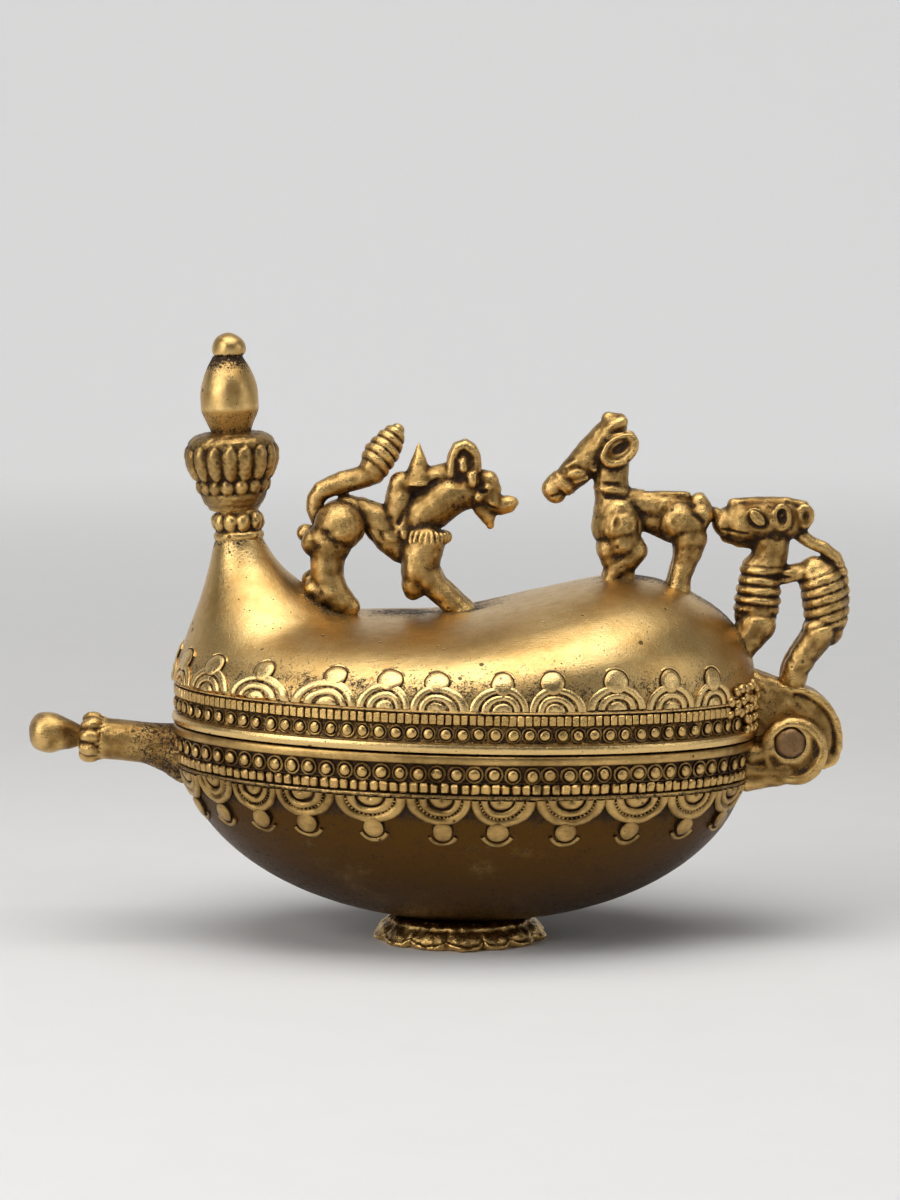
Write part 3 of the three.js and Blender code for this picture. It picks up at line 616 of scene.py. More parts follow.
def lid_shell():
    lining = [neck_ring(NECK_TOP_RADIUS - WALL, -WALL), *reversed(dome_rows(LINING_ROWS, -WALL))]
    lining = [row + (0, 0, BAND_Z) for row in lining]
    lining += [oval(RIM_X - WALL, RIM_Y - WALL, z) for z in (BAND_Z, RIM_Z + 4, RIM_Z + SEAM_HALF)]
    band = [oval(RIM_X + out, RIM_Y + out, RIM_Z + rise) for rise, out in LID_BAND]
    dome = []
    for row in dome_rows(DOME_ROWS):
        dome.append(row + slope_of(lid_gauge, row) * recess(row[:, 2])[:, None] + (0, 0, BAND_Z))
    top = [neck_ring(NECK_TOP_RADIUS, grow) + (0, 0, BAND_Z) for grow in (0, 0.4)]
    obj = drawn("lid_dome", [*lining, *band, *dome, *top])
    points = points_of(obj) / MM
    rise = points[:, 2] - RIM_Z
    grime_and_shade = 0.24 * (1 - smooth_step(rise, BAND_RISE + 4.2, BAND_RISE + 6.6))
    grime_and_shade += 0.36 * (1 - smooth_step(rise, BAND_RISE + 5, BAND_RISE + 14))
    under = within_units(points, LID_UNITS, LID_HALF, BAND_RISE, rise)
    grime_and_shade = np.maximum(grime_and_shade, 0.85 * under * (rise < LID_SCALLOP_END))
    grime_and_shade[rise < LID_GROUND] = 0.5
    grime_and_shade[(rise < LID_LIP) & (rise > SEAM_LINE)] = 0.15
    # Near-black spots under the animals, the finial and at the hinge end: painted shadow, with dirt round the
    # feet
    grime_and_shade = np.maximum(grime_and_shade, 0.95 * painted_shadow_and_dirt(points))
    lining = lid_inside(points) < LINING_SHARE
    mark(obj, "grime_and_shade", np.where(lining, 0.12, grime_and_shade))
    relief = np.where(rise < LID_EDGE, np.clip(0.5 + band_outset(LID_BAND, rise) * 0.8, 0, 1), 0.6)
    return mark(obj, "relief", np.where(lining, 0.3, relief))


def bowl_shell():
    def rows(count, inset, start):
        full = HULL_DEPTH - inset
        first = math.asin((start / full) ** (HULL_POWER / 2))
        out = []
        for angle in np.linspace(math.pi / 2 - 0.004, first, count):
            share = math.cos(angle) ** (2 / HULL_POWER)
            depth = full * math.sin(angle) ** (2 / HULL_POWER)
            ground = 0 if inset else float(recess(depth - 8.9))
            half_x, half_y = (RIM_X - inset) * share + ground, (RIM_Y - inset) * share + ground
            out.append(oval(half_x, half_y, RIM_Z - depth))
        return out

    outside = rows(HULL_ROWS, 0, 9.1)
    band = []
    for rise, out in reversed(BOWL_BAND):
        share = float(hull_share(rise))
        band.append(oval(RIM_X * share + out, RIM_Y * share + out, RIM_Z - rise))
    lining = list(reversed(rows(LINING_ROWS, WALL, SEAM_HALF)))
    obj = drawn("bowl_hull", [*outside, *band, *lining])
    points = points_of(obj) / MM
    depth = RIM_Z - points[:, 2]
    grime_and_shade = 0.74 * (1 - smooth_step(depth, 11.8, 14.6)) - 0.1
    under = within_units(points, BOWL_UNITS, BOWL_HALF, BOWL_SCALLOP_DEPTH, depth)
    grime_and_shade = np.maximum(grime_and_shade, 0.8 * under * (depth < BOWL_SCALLOP_END))
    grime_and_shade[depth < BOWL_GROUND] = 0.55
    grime_and_shade[(depth < BOWL_LIP) & (depth > SEAM_LINE)] = 0.2
    # Darker toward the bottom of the hull: painted shade, as under light from above
    grime_and_shade = np.maximum(grime_and_shade, 0.3 * smooth_step(depth, 26, 38) - 0.1)
    lining = bowl_inside(points) < LINING_SHARE
    mark(obj, "grime_and_shade", np.where(lining, 0.1, grime_and_shade))
    # The hull is held near the dark middle tone: its brown patina, deepened as painted shade for the bowl
    # under the lid
    relief = np.where(depth < BOWL_EDGE, np.clip(0.45 + band_outset(BOWL_BAND, depth) * 0.8, 0, 1), 0.05)
    return mark(obj, "relief", np.where(lining, 0.2, relief))


# Ornaments of the band, modelled flat and then laid on the shells
LID_BEADS, BOWL_BEADS = 95, 84
LID_TICKS, BOWL_TICKS = 199, 154
# Bare stretch on each side of the hinge: the lid's beads, its rope, and both courses of the bowl
LID_OPEN, LID_ROPE_OPEN, BOWL_OPEN = 14.5, 19.5, 9.7
BEAD_MIDDLE = 3.95
TICK_MIDDLE = 6.75
# The grains reach down beside the hinge where the beads stop, and less far where only the rope has stopped
GRAIN_LOW, GRAIN_HIGH, GRAIN_DEEP_END = -3.6, 0.4, 14
# Height of an ornament's foot, which is sunk in the shell
LOW = -0.66


def proud(obj, top):
    """Marks a flat ornament by height, so that its foot stays dark and its top is rubbed bright."""
    height = points_of(obj)[:, 2] / MM
    return mark(obj, "relief", np.clip((height + 0.45) / (top + 0.45), 0, 1))


def strip(name, inner, outer, top, squash, steps=14, sweep=(0, 180), domed=True):
    """A raised half-oval line, flat with narrow shoulders or rounded over."""
    width = outer - inner
    bevel, side = (width * 0.24, top - min(0.5, width * 0.25)) if domed else (0.16, top - 0.18)
    outline = [
        (inner, LOW), (outer, LOW), (outer, side), (outer - bevel, top - 0.05),
        (inner + width / 2, top + 0.03), (inner + bevel, top - 0.05), (inner, side),
    ]
    obj = disc(name, 1, 0, len(outline))
    start = math.radians(sweep[0])
    set_points(obj, [(r * math.cos(start) * MM, r * math.sin(start) * MM, z * MM) for r, z in outline])
    edit(obj)
    bpy.ops.mesh.spin(steps=steps, angle=math.radians(sweep[1] - sweep[0]), center=(0, 0, 0), axis=(0, 0, -1))
    bpy.ops.mesh.select_all(action="SELECT")
    bpy.ops.transform.resize(value=(1, squash, 1), center_override=(0, 0, 0))
    leave(obj)
    return proud(obj, top)


def tile(name, width, height, top, bevel=0.16):
    """A small block with softened edges."""
    bpy.ops.object.select_all(action="DESELECT")
    bpy.ops.mesh.primitive_cube_add(size=MM)
    obj = named(name)
    edit(obj)
    bpy.ops.transform.resize(value=(width, height, top - LOW), center_override=(0, 0, 0))
    bpy.ops.transform.translate(value=(0, 0, (top + LOW) / 2 * MM))
    bpy.ops.mesh.bevel(offset=bevel * MM, segments=1)
    leave(obj)
    return proud(obj, top)


def moved(obj, x, y, turn=0.0):
    return place(obj, Matrix.Translation((x * MM, y * MM, 0)) @ Matrix.Rotation(turn, 4, "Z"))


def bead(name, radius, cell, top):
    """A round bead in a dark ring, on a small round plate of its own."""
    outline = [
        (LOW, cell), (-0.3, cell), (-0.22, cell - 0.08), (-0.26, radius + 0.36), (-0.58, radius + 0.22),
        (-0.56, radius + 0.05), (-0.3, radius), (top * 0.2, radius), (top * 0.7, radius * 0.8),
        (top, radius * 0.34),
    ]
    obj = turned(name, outline, sides=12)
    points = points_of(obj) / MM
    out, height = np.hypot(points[:, 0], points[:, 1]), points[:, 2]
    plate = out > radius + 0.3
    ring = (out > radius - 0.02) & ~plate & (height < -0.1)
    mark(obj, "relief", np.where(plate, 0.42, np.clip((height + 0.35) / (top + 0.35), 0, 1)))
    return mark(obj, "grime_and_shade", np.where(ring, 1, 0))


def grain(name, radius, top):
    """A small low dome."""
    outline = [
        (LOW, radius), (0, radius), (top * 0.4, radius * 0.95), (top * 0.68, radius * 0.8),
        (top * 0.9, radius * 0.52), (top, radius * 0.15),
    ]
    return proud(turned(name, outline, sides=12), top)


def boss(name, radius, top):
    """A low round boss in a dark outline."""
    outline = [
        (LOW, radius + 0.22), (0.02, radius + 0.22), (0.03, radius + 0.08), (-0.08, radius),
        (top - 0.24, radius), (top - 0.08, radius * 0.88), (top, radius * 0.6), (top + 0.04, 0.2),
    ]
    obj = turned(name, outline, sides=20)
    height = points_of(obj)[:, 2] / MM
    mark(obj, "relief", np.clip(height / top, 0, 1))
    return mark(obj, "grime_and_shade", np.where(height < 0.05, 0.95, 0))


def lid_unit():
    """One lid scallop: two broad flat lines round a solid core."""
    lines = [(4.05, LID_HALF, 0.18, 20), (2.35, 3.5, 0.16, 16), (0.05, 1.75, 0.12, 10)]
    return joined("lid_scallop", [
        strip("line", inner, outer, top, LID_SQUASH, steps=steps, domed=False)
        for inner, outer, top, steps in lines
    ])


def bowl_unit():
    """One hanging scallop of the bowl, with a beaded groove."""
    lines = [(4.35, BOWL_HALF, 0.5, 20), (2.6, 4.05, 0.42, 16), (0.05, 2.3, 0.34, 10)]
    parts = [strip("line", inner, outer, top, BOWL_SQUASH, steps=steps) for inner, outer, top, steps in lines]
    for step in range(16):
        angle = math.radians(12 + 10.4 * step)
        x, y = 4.2 * math.cos(angle), 4.2 * BOWL_SQUASH * math.sin(angle)
        parts.append(moved(tile("hatch", 0.5, 0.3, 0.12, 0.08), x, y, angle))
    return joined("bowl_scallop", parts)


def spread(name, motif, shell, stations, rise):
    """Copies of a flat ornament round the band. A station is a length, two stretches and a shift."""
    copies = []
    for _, stretch, shift in stations:
        before, after = stretch if shell[2] > 0 else stretch[::-1]
        twin = copied(motif)
        points = points_of(twin)
        points[:, 0] *= np.where(points[:, 0] < 0, before, after)
        set_points(twin, points + (0, shift * MM, 0))
        copies.append(twin)
    bpy.data.objects.remove(motif)
    obj = wrapped(joined(name, copies), shell, stations, rise, len(stations))
    edit(obj)
    return leave(obj)


def evenly(count, opening, seed, jitter=0.12):
    """Stations round the whole rim that leave the hinge free, a little uneven as laid by hand."""
    rng = np.random.default_rng(seed)
    length = RIM_ARC[-1]
    hinge = length / 2
    stations = []
    for index in range(count):
        along = (index + 0.5) * length / count
        if abs(along - hinge) > opening:
            stretch = 1 + rng.normal(0, 0.04)
            stations.append((along + rng.normal(0, jitter), (stretch, stretch), rng.normal(0, jitter / 2)))
    return stations


def units(places, seed, half):
    """Scallops that meet half-way to their neighbours: the front's, and the same on the back."""
    rng = np.random.default_rng(seed)
    stations = []
    for at, along in enumerate(places):
        after = places[at + 1] - along if at + 1 < len(places) else along - places[at - 1]
        before = along - places[at - 1] if at else 2 * places[0] if places[0] else after
        before, after = (min(gap / 2 / half, 1.45) * 0.99 for gap in (before, after))
        shift = rng.normal(0, 0.08)
        stations.append((along, (before, after), shift))
        if along > 0:
            stations.append((-along, (after, before), shift))
    return stations


def bosses_at(places, seed):
    return [(along, (size, size), shift * 2.5) for (along, _, shift), size in zip(
        units(places, seed, 1), 1 + 0.07 * np.sin(np.arange(99) * 2.3)
    )]


def lid_ornament():
    scallops = spread("lid_scallops", lid_unit(), LID, units(LID_UNITS, 3, LID_HALF), BAND_RISE - 0.1)
    rough(scallops, 0.03, 2.6, 3)
    crescent = strip("crescent", 2.6, 2.95, 0.04, 1, steps=8, sweep=(25, 130))
    pair = joined("lid_boss", [boss("boss", 2.3, 0.3), crescent])
    bosses = rough(spread("lid_bosses", pair, LID, bosses_at(LID_UNITS, 5), LID_BOSS_RISE), 0.04, 3, 5)
    places = evenly(LID_BEADS, LID_OPEN, 7)
    beads = spread("lid_beads", bead("bead", 0.96, 1.56, 0.3), LID, places, BEAD_MIDDLE)
    rough(beads, 0.06, 2.2, 7)
    ticks = tile("tick", 1.3, 1.88, 0.3, 0.14)
    rope = spread("lid_rope", ticks, LID, evenly(LID_TICKS, LID_ROPE_OPEN, 11, 0.03), TICK_MIDDLE)
    return scallops, bosses, beads, rough(rope, 0.03, 2, 9)


def lid_end_grains():
    """Rough columns of round grains on each side of the tongue, where the courses stop."""
    rng = np.random.default_rng(29)
    hinge = RIM_ARC[-1] / 2
    grains = []
    for side in (-1, 1):
        for column in np.arange(6.1, LID_ROPE_OPEN, 2.15):
            low = GRAIN_LOW if column < GRAIN_DEEP_END else GRAIN_HIGH
            for rise in np.arange(low, 6.6 - 0.12 * column, 2.05):
                size = rng.uniform(0.85, 1.2)
                shift = rise + rng.normal(0, 0.22)
                grains.append((hinge + side * (column + rng.normal(0, 0.25)), (size, size), shift))
    obj = spread("lid_end_grains", grain("grain", 0.98, 0.95), LID, grains, BAND_RISE - 2.6)
    return rough(obj, 0.08, 2, 13)


def bowl_ornament():
    places = units(BOWL_UNITS, 13, BOWL_HALF)
    scallops = spread("bowl_scallops", bowl_unit(), BOWL, places, BOWL_SCALLOP_DEPTH)
    # The bowl's courses are dimmed below their rubbed brightness: painted shade, the bowl lying under the lid
    # with light from above
    relief_scaled(rough(scallops, 0.06, 2.8, 15), 0.6)
    crescent = strip("crescent", 2.6, 3.4, 0.4, 1, steps=10, sweep=(25, 155))
    pair = joined("bowl_boss", [boss("boss", 2.05, 0.7), crescent])
    bosses = spread("bowl_bosses", pair, BOWL, bosses_at(BOWL_UNITS, 17), BOWL_BOSS_DEPTH)
    relief_scaled(rough(bosses, 0.06, 3, 17), 0.55)
    places = evenly(BOWL_BEADS, BOWL_OPEN, 19)
    beads = spread("bowl_beads", bead("bead", 1.06, 1.8, 0.42), BOWL, places, BEAD_MIDDLE)
    relief_scaled(rough(beads, 0.06, 2.4, 19), 0.8)
    ticks = tile("tick", 1.72, 1.95, 0.4, 0.34)
    rope = spread("bowl_rope", ticks, BOWL, evenly(BOWL_TICKS, BOWL_OPEN, 23, 0.06), TICK_MIDDLE)
    return scallops, bosses, beads, relief_scaled(rough(rope, 0.05, 2, 21), 0.75)


# Finial: four turned and modelled members on the leaning neck, each with a height and a small shift
CUP_AT, URN_AT, CAP_AT = (5.9, -0.6), (21, -0.45), (36.6, -0.1)


def on_neck(obj, height, shift=0.0):
    top = neck_top(0.3 + height) + (shift, 0, BAND_Z)
    return place(obj, Matrix.Translation(Vector(top) * MM) @ Matrix.Rotation(FINIAL_LEAN, 4, "Y"))


def crown(name, motif, count, seed=None):
    """Copies of one form set round the Z axis."""
    rng = np.random.default_rng(seed)
    copies = []
    for index in range(count):
        wobble = rng.normal(0, 0.04) if seed else 0
        twin = place(copied(motif), Matrix.Rotation((index + wobble) * TURN / count, 4, "Z"))
        copies.append(twin)
    bpy.data.objects.remove(motif)
    return joined(name, copies)


def petal(name, x, z, shape, tilt, swell=0.0):
    wax = Wax()
    wax.ball((0, 0, 0), 1, shape)
    obj = wax.joined(name)
    points = points_of(obj)
    points[:, :2] *= 1 + swell * points[:, 2:] / (shape[2] * MM)
    set_points(obj, points)
    return place(obj, Matrix.Translation((x * MM, 0, z * MM)) @ Matrix.Rotation(math.radians(tilt), 4, "Y"))


def finial_collar():
    core = turned("core", [
        (-0.3, 4.6), (0.1, 4.95), (0.5, 5.1), (0.9, 5.1), (1.3, 4.9), (1.5, 4.6), (1.7, 4.4), (4.8, 4.4),
        (5.1, 4.3), (6.3, 4.2),
    ], 64)
    beads = crown("beads", petal("bead", 3.9, 3.45, (1.55, 1.58, 2.0), 0), 10, 3)
    collar = rough(on_neck(fused(joined("collar_beads", [core, beads]), 0.2, 2), 0), 0.05, 2.4, 21)
    return relief_of_parts(collar, 0.9, 0.26)


def lotus_cup():
    core = turned("core", [
        (-0.2, 4.8), (0.6, 5.3), (1.4, 5.9), (2.2, 6.35), (2.8, 6.6), (3.2, 6.6), (3.5, 6.3), (4.8, 6.75),
        (6.1, 7.1), (6.5, 7.4), (8.5, 7.9), (10.5, 8.3), (12.0, 8.55), (13.0, 8.7), (13.7, 8.65),
        (14.3, 8.2), (14.8, 7.5), (15.2, 6.6), (15.4, 5.6), (15.5, 4.8), (15.5, 4.1),
    ], 96)
    small = crown("small", petal("petal", 6.55, 4.75, (1.05, 1.42, 1.65), 12), 15, 5)
    large = crown("large", petal("petal", 7.85, 9.6, (1.55, 1.78, 3.75), 9, 0.14), 16, 7)
    cup = fused(joined("lotus", [core, small, large]), 0.2, 2)
    rough(cup, 0.035, 2.2, 23)
    rough(cup, 0.025, 1.0, 24)
    relief_scaled(relief_of_parts(cup, 1.0, 0.34), 0.72)
    return on_neck(cup, *CUP_AT)


def finial_urn():
    urn = turned("urn", [
        (-0.7, 4.0), (0, 3.9), (0.6, 4.0), (1.4, 4.3), (2.6, 4.85), (3.6, 5.35), (4.3, 5.65), (4.9, 5.82),
        (5.3, 5.88), (5.7, 5.87), (6.4, 5.86), (7.5, 5.83), (8.6, 5.76), (9.6, 5.6), (10.6, 5.35),
        (11.6, 5.02), (12.5, 4.62), (13.3, 4.2), (14.1, 3.75), (14.8, 3.3), (15.3, 3.05), (15.9, 2.95),
    ], 72)
    urn = rough(modified(urn, "SUBSURF", levels=1), 0.04, 5, 25)
    height = points_of(urn)[:, 2] / MM
    grime_and_shade = np.maximum(0.35 * (1 - smooth_step(height, 0.3, 2.6)), 1.05 * smooth_step(height, 9.8, 16.2))
    mark(urn, "grime_and_shade", np.maximum(grime_and_shade, 0.08 * (1 - smooth_step(height, 4.3, 5.2))))
    edge = 0.2 * np.exp(-(((height - 5.6) / 0.5) ** 2))
    mark(urn, "relief", 0.5 + edge - 0.5 * (1 - smooth_step(height, 4.3, 5.1)))
    return on_neck(urn, *URN_AT)


def cap_button():
    cap = turned("cap_button", [
        (-0.6, 2.7), (0, 2.9), (0.25, 3.2), (0.6, 3.4), (1.2, 3.45), (1.9, 3.38), (2.7, 3.1), (3.4, 2.65),
        (4.0, 2.0), (4.35, 1.35), (4.55, 0.8), (4.64, 0.35), (4.66, 0.1),
    ], 48)
    cap = rough(modified(cap, "SUBSURF", levels=1), 0.06, 4, 29)
    height = points_of(cap)[:, 2] / MM
    mark(cap, "grime_and_shade", 0.95 * (1 - smooth_step(height, 0.1, 0.9)))
    mark(cap, "relief", np.full(len(height), 0.6))
    return on_neck(cap, *CAP_AT)


# Side handle: rough stem from the hull, a lobed collar and a pear-shaped end
def on_handle(obj):
    lean = Matrix.Rotation(-(math.pi / 2 - HANDLE_RISE), 4, "Y")
    return place(obj, Matrix.Translation((-RIM_X * MM, 0, HANDLE_Z * MM)) @ lean)


def handle_stem():
    wax = Wax()
    wax.limb((0.2, 0, -2.2, 4.7), (0, 0, 2.5, 4.4), (0, 0, 6, 4.2), (0.1, 0, 10, 4.15), (0, 0, 12.5, 4.2))
    wax.limb((-3.4, 0, -3.2, 4.2), (-1.6, 0, 0.4, 4.1), (-0.4, 0, 4.0, 4.1))
    for side in (-1, 1):
        wax.limb((-1.4, side * 2.6, -2.4, 3.3), (-0.6, side * 1.4, 1.6, 3.3), (0, 0, 5, 3.8))
    wax.parts.append(turned("stem_end", [(8, 4.1), (13, 4.15), (14.7, 4.3), (15.1, 4.2), (15.3, 3.8)]))
    stem = fused(wax.joined("stem_cast"), 0.3, 14)
    rough(stem, 0.02, 1.6, 31)
    relief_of_parts(stem, 1.2, 0.36)
    mark(stem, "grime_and_shade", 0.2 + 0.5 * (1 - smooth_step(points_of(stem)[:, 2] / MM, 2, 12)))
    return kept_out(on_handle(stem))


def handle_collar():
    wax = Wax()
    wax.bar((0, 0, 14.9, 3.6), (0, 0, 18.9, 2.5))
    wax.limb((0, 0, 16.9, 3.2), (0, 0, 17.1, 3.2))
    wax.parts.append(crown("lobes", petal("lobe", 3.7, 16.9, (1.55, 1.55, 2.2), -6), 9, 9))
    wax.parts.append(crown("small_lobes", petal("lobe", 3.85, 15.2, (0.7, 0.5, 1.3), 0), 22, 11))
    collar = fused(wax.joined("collar_lobes"), 0.2, 3)
    rough(collar, 0.05, 2.4, 33)
    relief_of_parts(collar, 1.0, 0.34)
    return on_handle(collar)


def pear_end():
    end = turned("pear_end", [
        (17.9, 1.9), (18.4, 2.0), (19.3, 2.2), (20.4, 2.55), (21.8, 3.15), (23.4, 3.8), (25, 4.15),
        (26.4, 4.18), (27.6, 3.85), (28.5, 3.2), (29.1, 2.3), (29.42, 1.3), (29.52, 0.4),
    ], 48)
    end = modified(end, "SUBSURF", levels=2)
    rough(end, 0.07, 4.2, 35)
    relief_of_parts(end, 1.2, 0.36)
    return on_handle(end)


# Foot: a low flaring ring of uneven petals, level under the leaning box
def petalled_foot():
    rng = np.random.default_rng(41)
    sides = 384
    turn = np.arange(sides) * TURN / sides
    count = 14
    edges = np.sort((np.arange(count) + rng.uniform(-0.22, 0.22, count)) * TURN / count)
    at = np.searchsorted(edges, turn, side="right") - 1
    low = np.where(at < 0, edges[-1] - TURN, edges[at])
    high = np.where(at < 0, edges[0], np.where(at == count - 1, edges[0] + TURN, edges[(at + 1) % count]))
    share = (turn - low) / (high - low)
    lobe = np.sin(share * math.pi) ** 0.5
    fold = np.exp(-((np.minimum(share, 1 - share) / 0.13) ** 2))
    size = rng.uniform(0.75, 1.25, count)[at % count]
    curl = rng.uniform(0.2, 1.0, count)[at % count] * np.exp(-(((share - 0.22) / 0.16) ** 2))

    def row(radius, z, swell=0.0, lift=0.0):
        r = radius + swell * size * (lobe - 0.55)
        height = z + lift * (fold - 0.25) + lift * 0.5 * curl
        return np.stack([r * np.cos(turn), r * np.sin(turn), np.maximum(height, 0)], 1)

    rows = [
        row(12.8, 0), row(14.6, 0), row(15.9, 0.05, 0.9), row(16.5, 0.2, 1.3, 0.15),
        row(16.85, 0.5, 1.5, 0.5), row(17.0, 0.85, 1.5, 0.8), row(16.9, 1.1, 1.4, 0.9),
        row(16.65, 1.3, 1.3, 0.8), row(16.45, 1.5, 1.2, 0.6), row(16.35, 1.8, 1.15, 0.4),
        row(16.2, 2.15, 1.05, 0.25), row(15.9, 2.55, 0.9, 0.1), row(15.5, 2.95, 0.7),
        row(15.1, 3.3, 0.45), row(14.75, 3.6, 0.25), row(14.75, 4.0, 0.1), row(14.5, 4.35),
        row(14.0, 4.6), row(13.3, 4.9),
    ]
    obj = drawn("petal_foot", rows)
    rough(obj, 0.1, 2.6, 43)
    rough(obj, 0.04, 1.2, 45)
    points = points_of(obj)
    points[:, 2] = np.maximum(points[:, 2], 0)
    set_points(obj, points)
    relief_scaled(relief_of_parts(obj, 1.1, 0.5), 1.4)
    return mark(obj, "grime_and_shade", 0.45 * (1 - smooth_step(np.abs(points[:, 2] / MM - 2), 0.8, 2.2)) - 0.1)


# Tooling on a fused skin
def skin_of(obj):
    return points_of(obj) / MM, normals_of(obj)


def pressed(obj, stamps):
    """Presses or swells spots of the skin. A stamp is a centre, three half-sizes, a tilt and a depth."""
    points, normals = skin_of(obj)
    for centre, size, tilt, depth in stamps:
        away = points - np.array(centre)
        c, s = math.cos(math.radians(tilt)), math.sin(math.radians(tilt))
        x, z = away[:, 0] * c + away[:, 2] * s, away[:, 2] * c - away[:, 0] * s
        reach = np.sqrt((x / size[0]) ** 2 + (away[:, 1] / size[1]) ** 2 + (z / size[2]) ** 2)
        points -= normals * (depth * (1 - smooth_step(reach, 0.55, 1.1)))[:, None]
    set_points(obj, points * MM)
    return obj


def scribed(obj, lines):
    """Cuts soft lines into the skin. A line is its points, its half-width and its depth."""
    points, normals = skin_of(obj)
    for path, width, depth in lines:
        path = np.array(path, float)
        near = np.full(len(points), 1e9)
        for a, b in zip(path, path[1:]):
            along = np.clip(((points - a) @ (b - a)) / ((b - a) @ (b - a)), 0, 1)
            near = np.minimum(near, np.linalg.norm(points - a - along[:, None] * (b - a), axis=1))
        points -= normals * (depth * np.exp(-((near / width) ** 2)))[:, None]
    set_points(obj, points * MM)
    return obj


def ribbed(obj, centre, axis, half, reach, pitch, depth, power=0.5):
    """Raises rounded ribs across an axis, within a half-length along it and a reach from it."""
    points, normals = skin_of(obj)
    axis = np.array(axis, float) / np.linalg.norm(axis)
    away = points - np.array(centre)
    along = away @ axis
    out = np.linalg.norm(away - along[:, None] * axis, axis=1)
    share = 1 - smooth_step(np.abs(along), half - 0.6, half + 0.6)
    share = share * (1 - smooth_step(out, reach - 0.5, reach + 0.7))
    wave = np.abs(np.cos(math.pi * along / pitch)) ** power - 0.7
    points += normals * (share * depth * wave)[:, None]
    set_points(obj, points * MM)
    return obj


def levelled(obj, level, share, start=-math.inf, end=math.inf):
    """Draws what stands over a level down toward it, between two places along the box."""
    points = points_of(obj) / MM
    over = (points[:, 0] > start) & (points[:, 0] < end) & (points[:, 2] > level)
    points[over, 2] = level + (points[over, 2] - level) * share
    set_points(obj, points * MM)
    return obj


def mirrored(stamps):
    return [*stamps, *[((c[0], -c[1], c[2]), *rest) for c, *rest in stamps]]


def mirrored_lines(lines):
    return [*lines, *[([(x, -y, z) for x, y, z in path], *rest) for path, *rest in lines]]


# Hinge
def on_pin(obj, y=0.0, turn=math.pi / 2):
    """Turns a form across the box, onto the hinge's axis."""
    axis = Matrix.Translation((HINGE_X * MM, y * MM, HINGE_Z * MM))
    return place(obj, axis @ Matrix.Rotation(turn, 4, "X"))


def bored(obj, y=0.0, turn=math.pi / 2):
    """Opens the hole that the pin runs in."""
    hollow = on_pin(turned("bore", [(-BORE_REACH, BORE_RADIUS), (BORE_REACH, BORE_RADIUS)]), y, turn)
    modified(obj, "BOOLEAN", operation="DIFFERENCE", object=hollow, solver="EXACT")
    bpy.data.objects.remove(hollow)
    return obj


def hinge_ear(name, side):
    """A round plate with a raised rim, brazed to the hull by three roots."""
    y = side * EAR_Y
    turn = -side * math.pi / 2
    obj = turned(name + "_disc", [
        (-2.25, 6.2), (-1.9, 6.7), (-1.2, 6.95), (0.9, 6.95), (1.5, 6.75), (1.95, 6.3), (2.2, 5.75),
        (2.25, 5.35), (2.1, 5.05), (1.75, 4.8), (1.6, 4.4), (1.55, 3.35),
    ], 64)
    place(obj, Matrix.Translation((EAR_X * MM, y * MM, EAR_Z * MM)) @ Matrix.Rotation(turn, 4, "X"))
    wax = Wax()
    wax.parts.append(obj)
    wax.limb((56.6, y, 36.6, 2.2), (60, y, 36.6, 2.2), (64.5, y, 36.4, 2.2))
    wax.limb((57.6, y, 39.6, 2.2), (61, y, 40.4, 2.2))
    wax.limb((56.6, y, 34.2, 2.1), (60.5, y, 35.2, 2.1), (63.5, y, 35.6, 2.1))
    obj = bored(fused(wax.joined(name), 0.26, 5), y, turn)
    rough(obj, 0.05, 3.0, 51)
    return relief_of_parts(kept_out(obj), 1.2, 0.36)


def hinge_tongue():
    """A rough plate on the pin, with a web that runs up to the lid."""
    over = np.radians(np.linspace(-39, 100, 40))
    knuckle = np.radians(np.linspace(174, 321, 40))
    reach = 11.0 - 1.5 * np.exp(-(((np.degrees(over) + 39) / 9) ** 2))
    outline = [(r * math.cos(a), r * math.sin(a)) for r, a in zip(reach, over)]
    outline += [(-4, 10.2), (-7.6, 10.6), (-7.6, 0.75)]
    outline += [(5.4 * math.cos(a), 5.4 * math.sin(a)) for a in knuckle]
    obj = disc("tongue_plate", 1, 0, len(outline))
    set_points(obj, [((HINGE_X + x) * MM, TONGUE_HALF * MM, (HINGE_Z + z) * MM) for x, z in outline])
    edit(obj)
    bpy.ops.mesh.extrude_region_move(TRANSFORM_OT_translate={"value": (0, -2 * TONGUE_HALF * MM, 0)})
    leave(obj)
    wax = Wax()
    wax.parts.append(obj)
    wax.pair((57.2, 2.4, 54.4, 2.0), (60.4, 2.2, 53.2, 2.0), (64.2, 1.9, 52.0, 1.9), (67.5, 1.6, 50.6, 1.8))
    obj = fused(wax.joined("tongue_cast"), 0.27, 5)
    rough(obj, 0.05, 2.2, 57)
    turns = np.radians(np.linspace(-15, 84, 12))
    rim = [(HINGE_X + 9.2 * math.cos(a), HINGE_Z + 9.2 * math.sin(a)) for a in turns]
    scribed(obj, [([(x, y, z) for x, z in rim], 0.5, 0.4) for y in (-4.1, 4.1)])
    return relief_of_parts(bored(obj), 1.2, 0.3)


def hinge_pin():
    obj = turned("rivet", [
        (-9.5, 0.6), (-9.45, 1.5), (-9.25, 2.3), (-8.9, 2.8), (-8.3, 3.0), (8.3, 3.0), (8.9, 2.8),
        (9.25, 2.3), (9.45, 1.5), (9.5, 0.6),
    ], 40)
    rough(obj, 0.06, 1.4, 53)
    mark(obj, "relief", np.full(len(obj.data.vertices), 0.5))
    mark(obj, "grime_and_shade", np.full(len(obj.data.vertices), 0.2))
    return on_pin(obj)


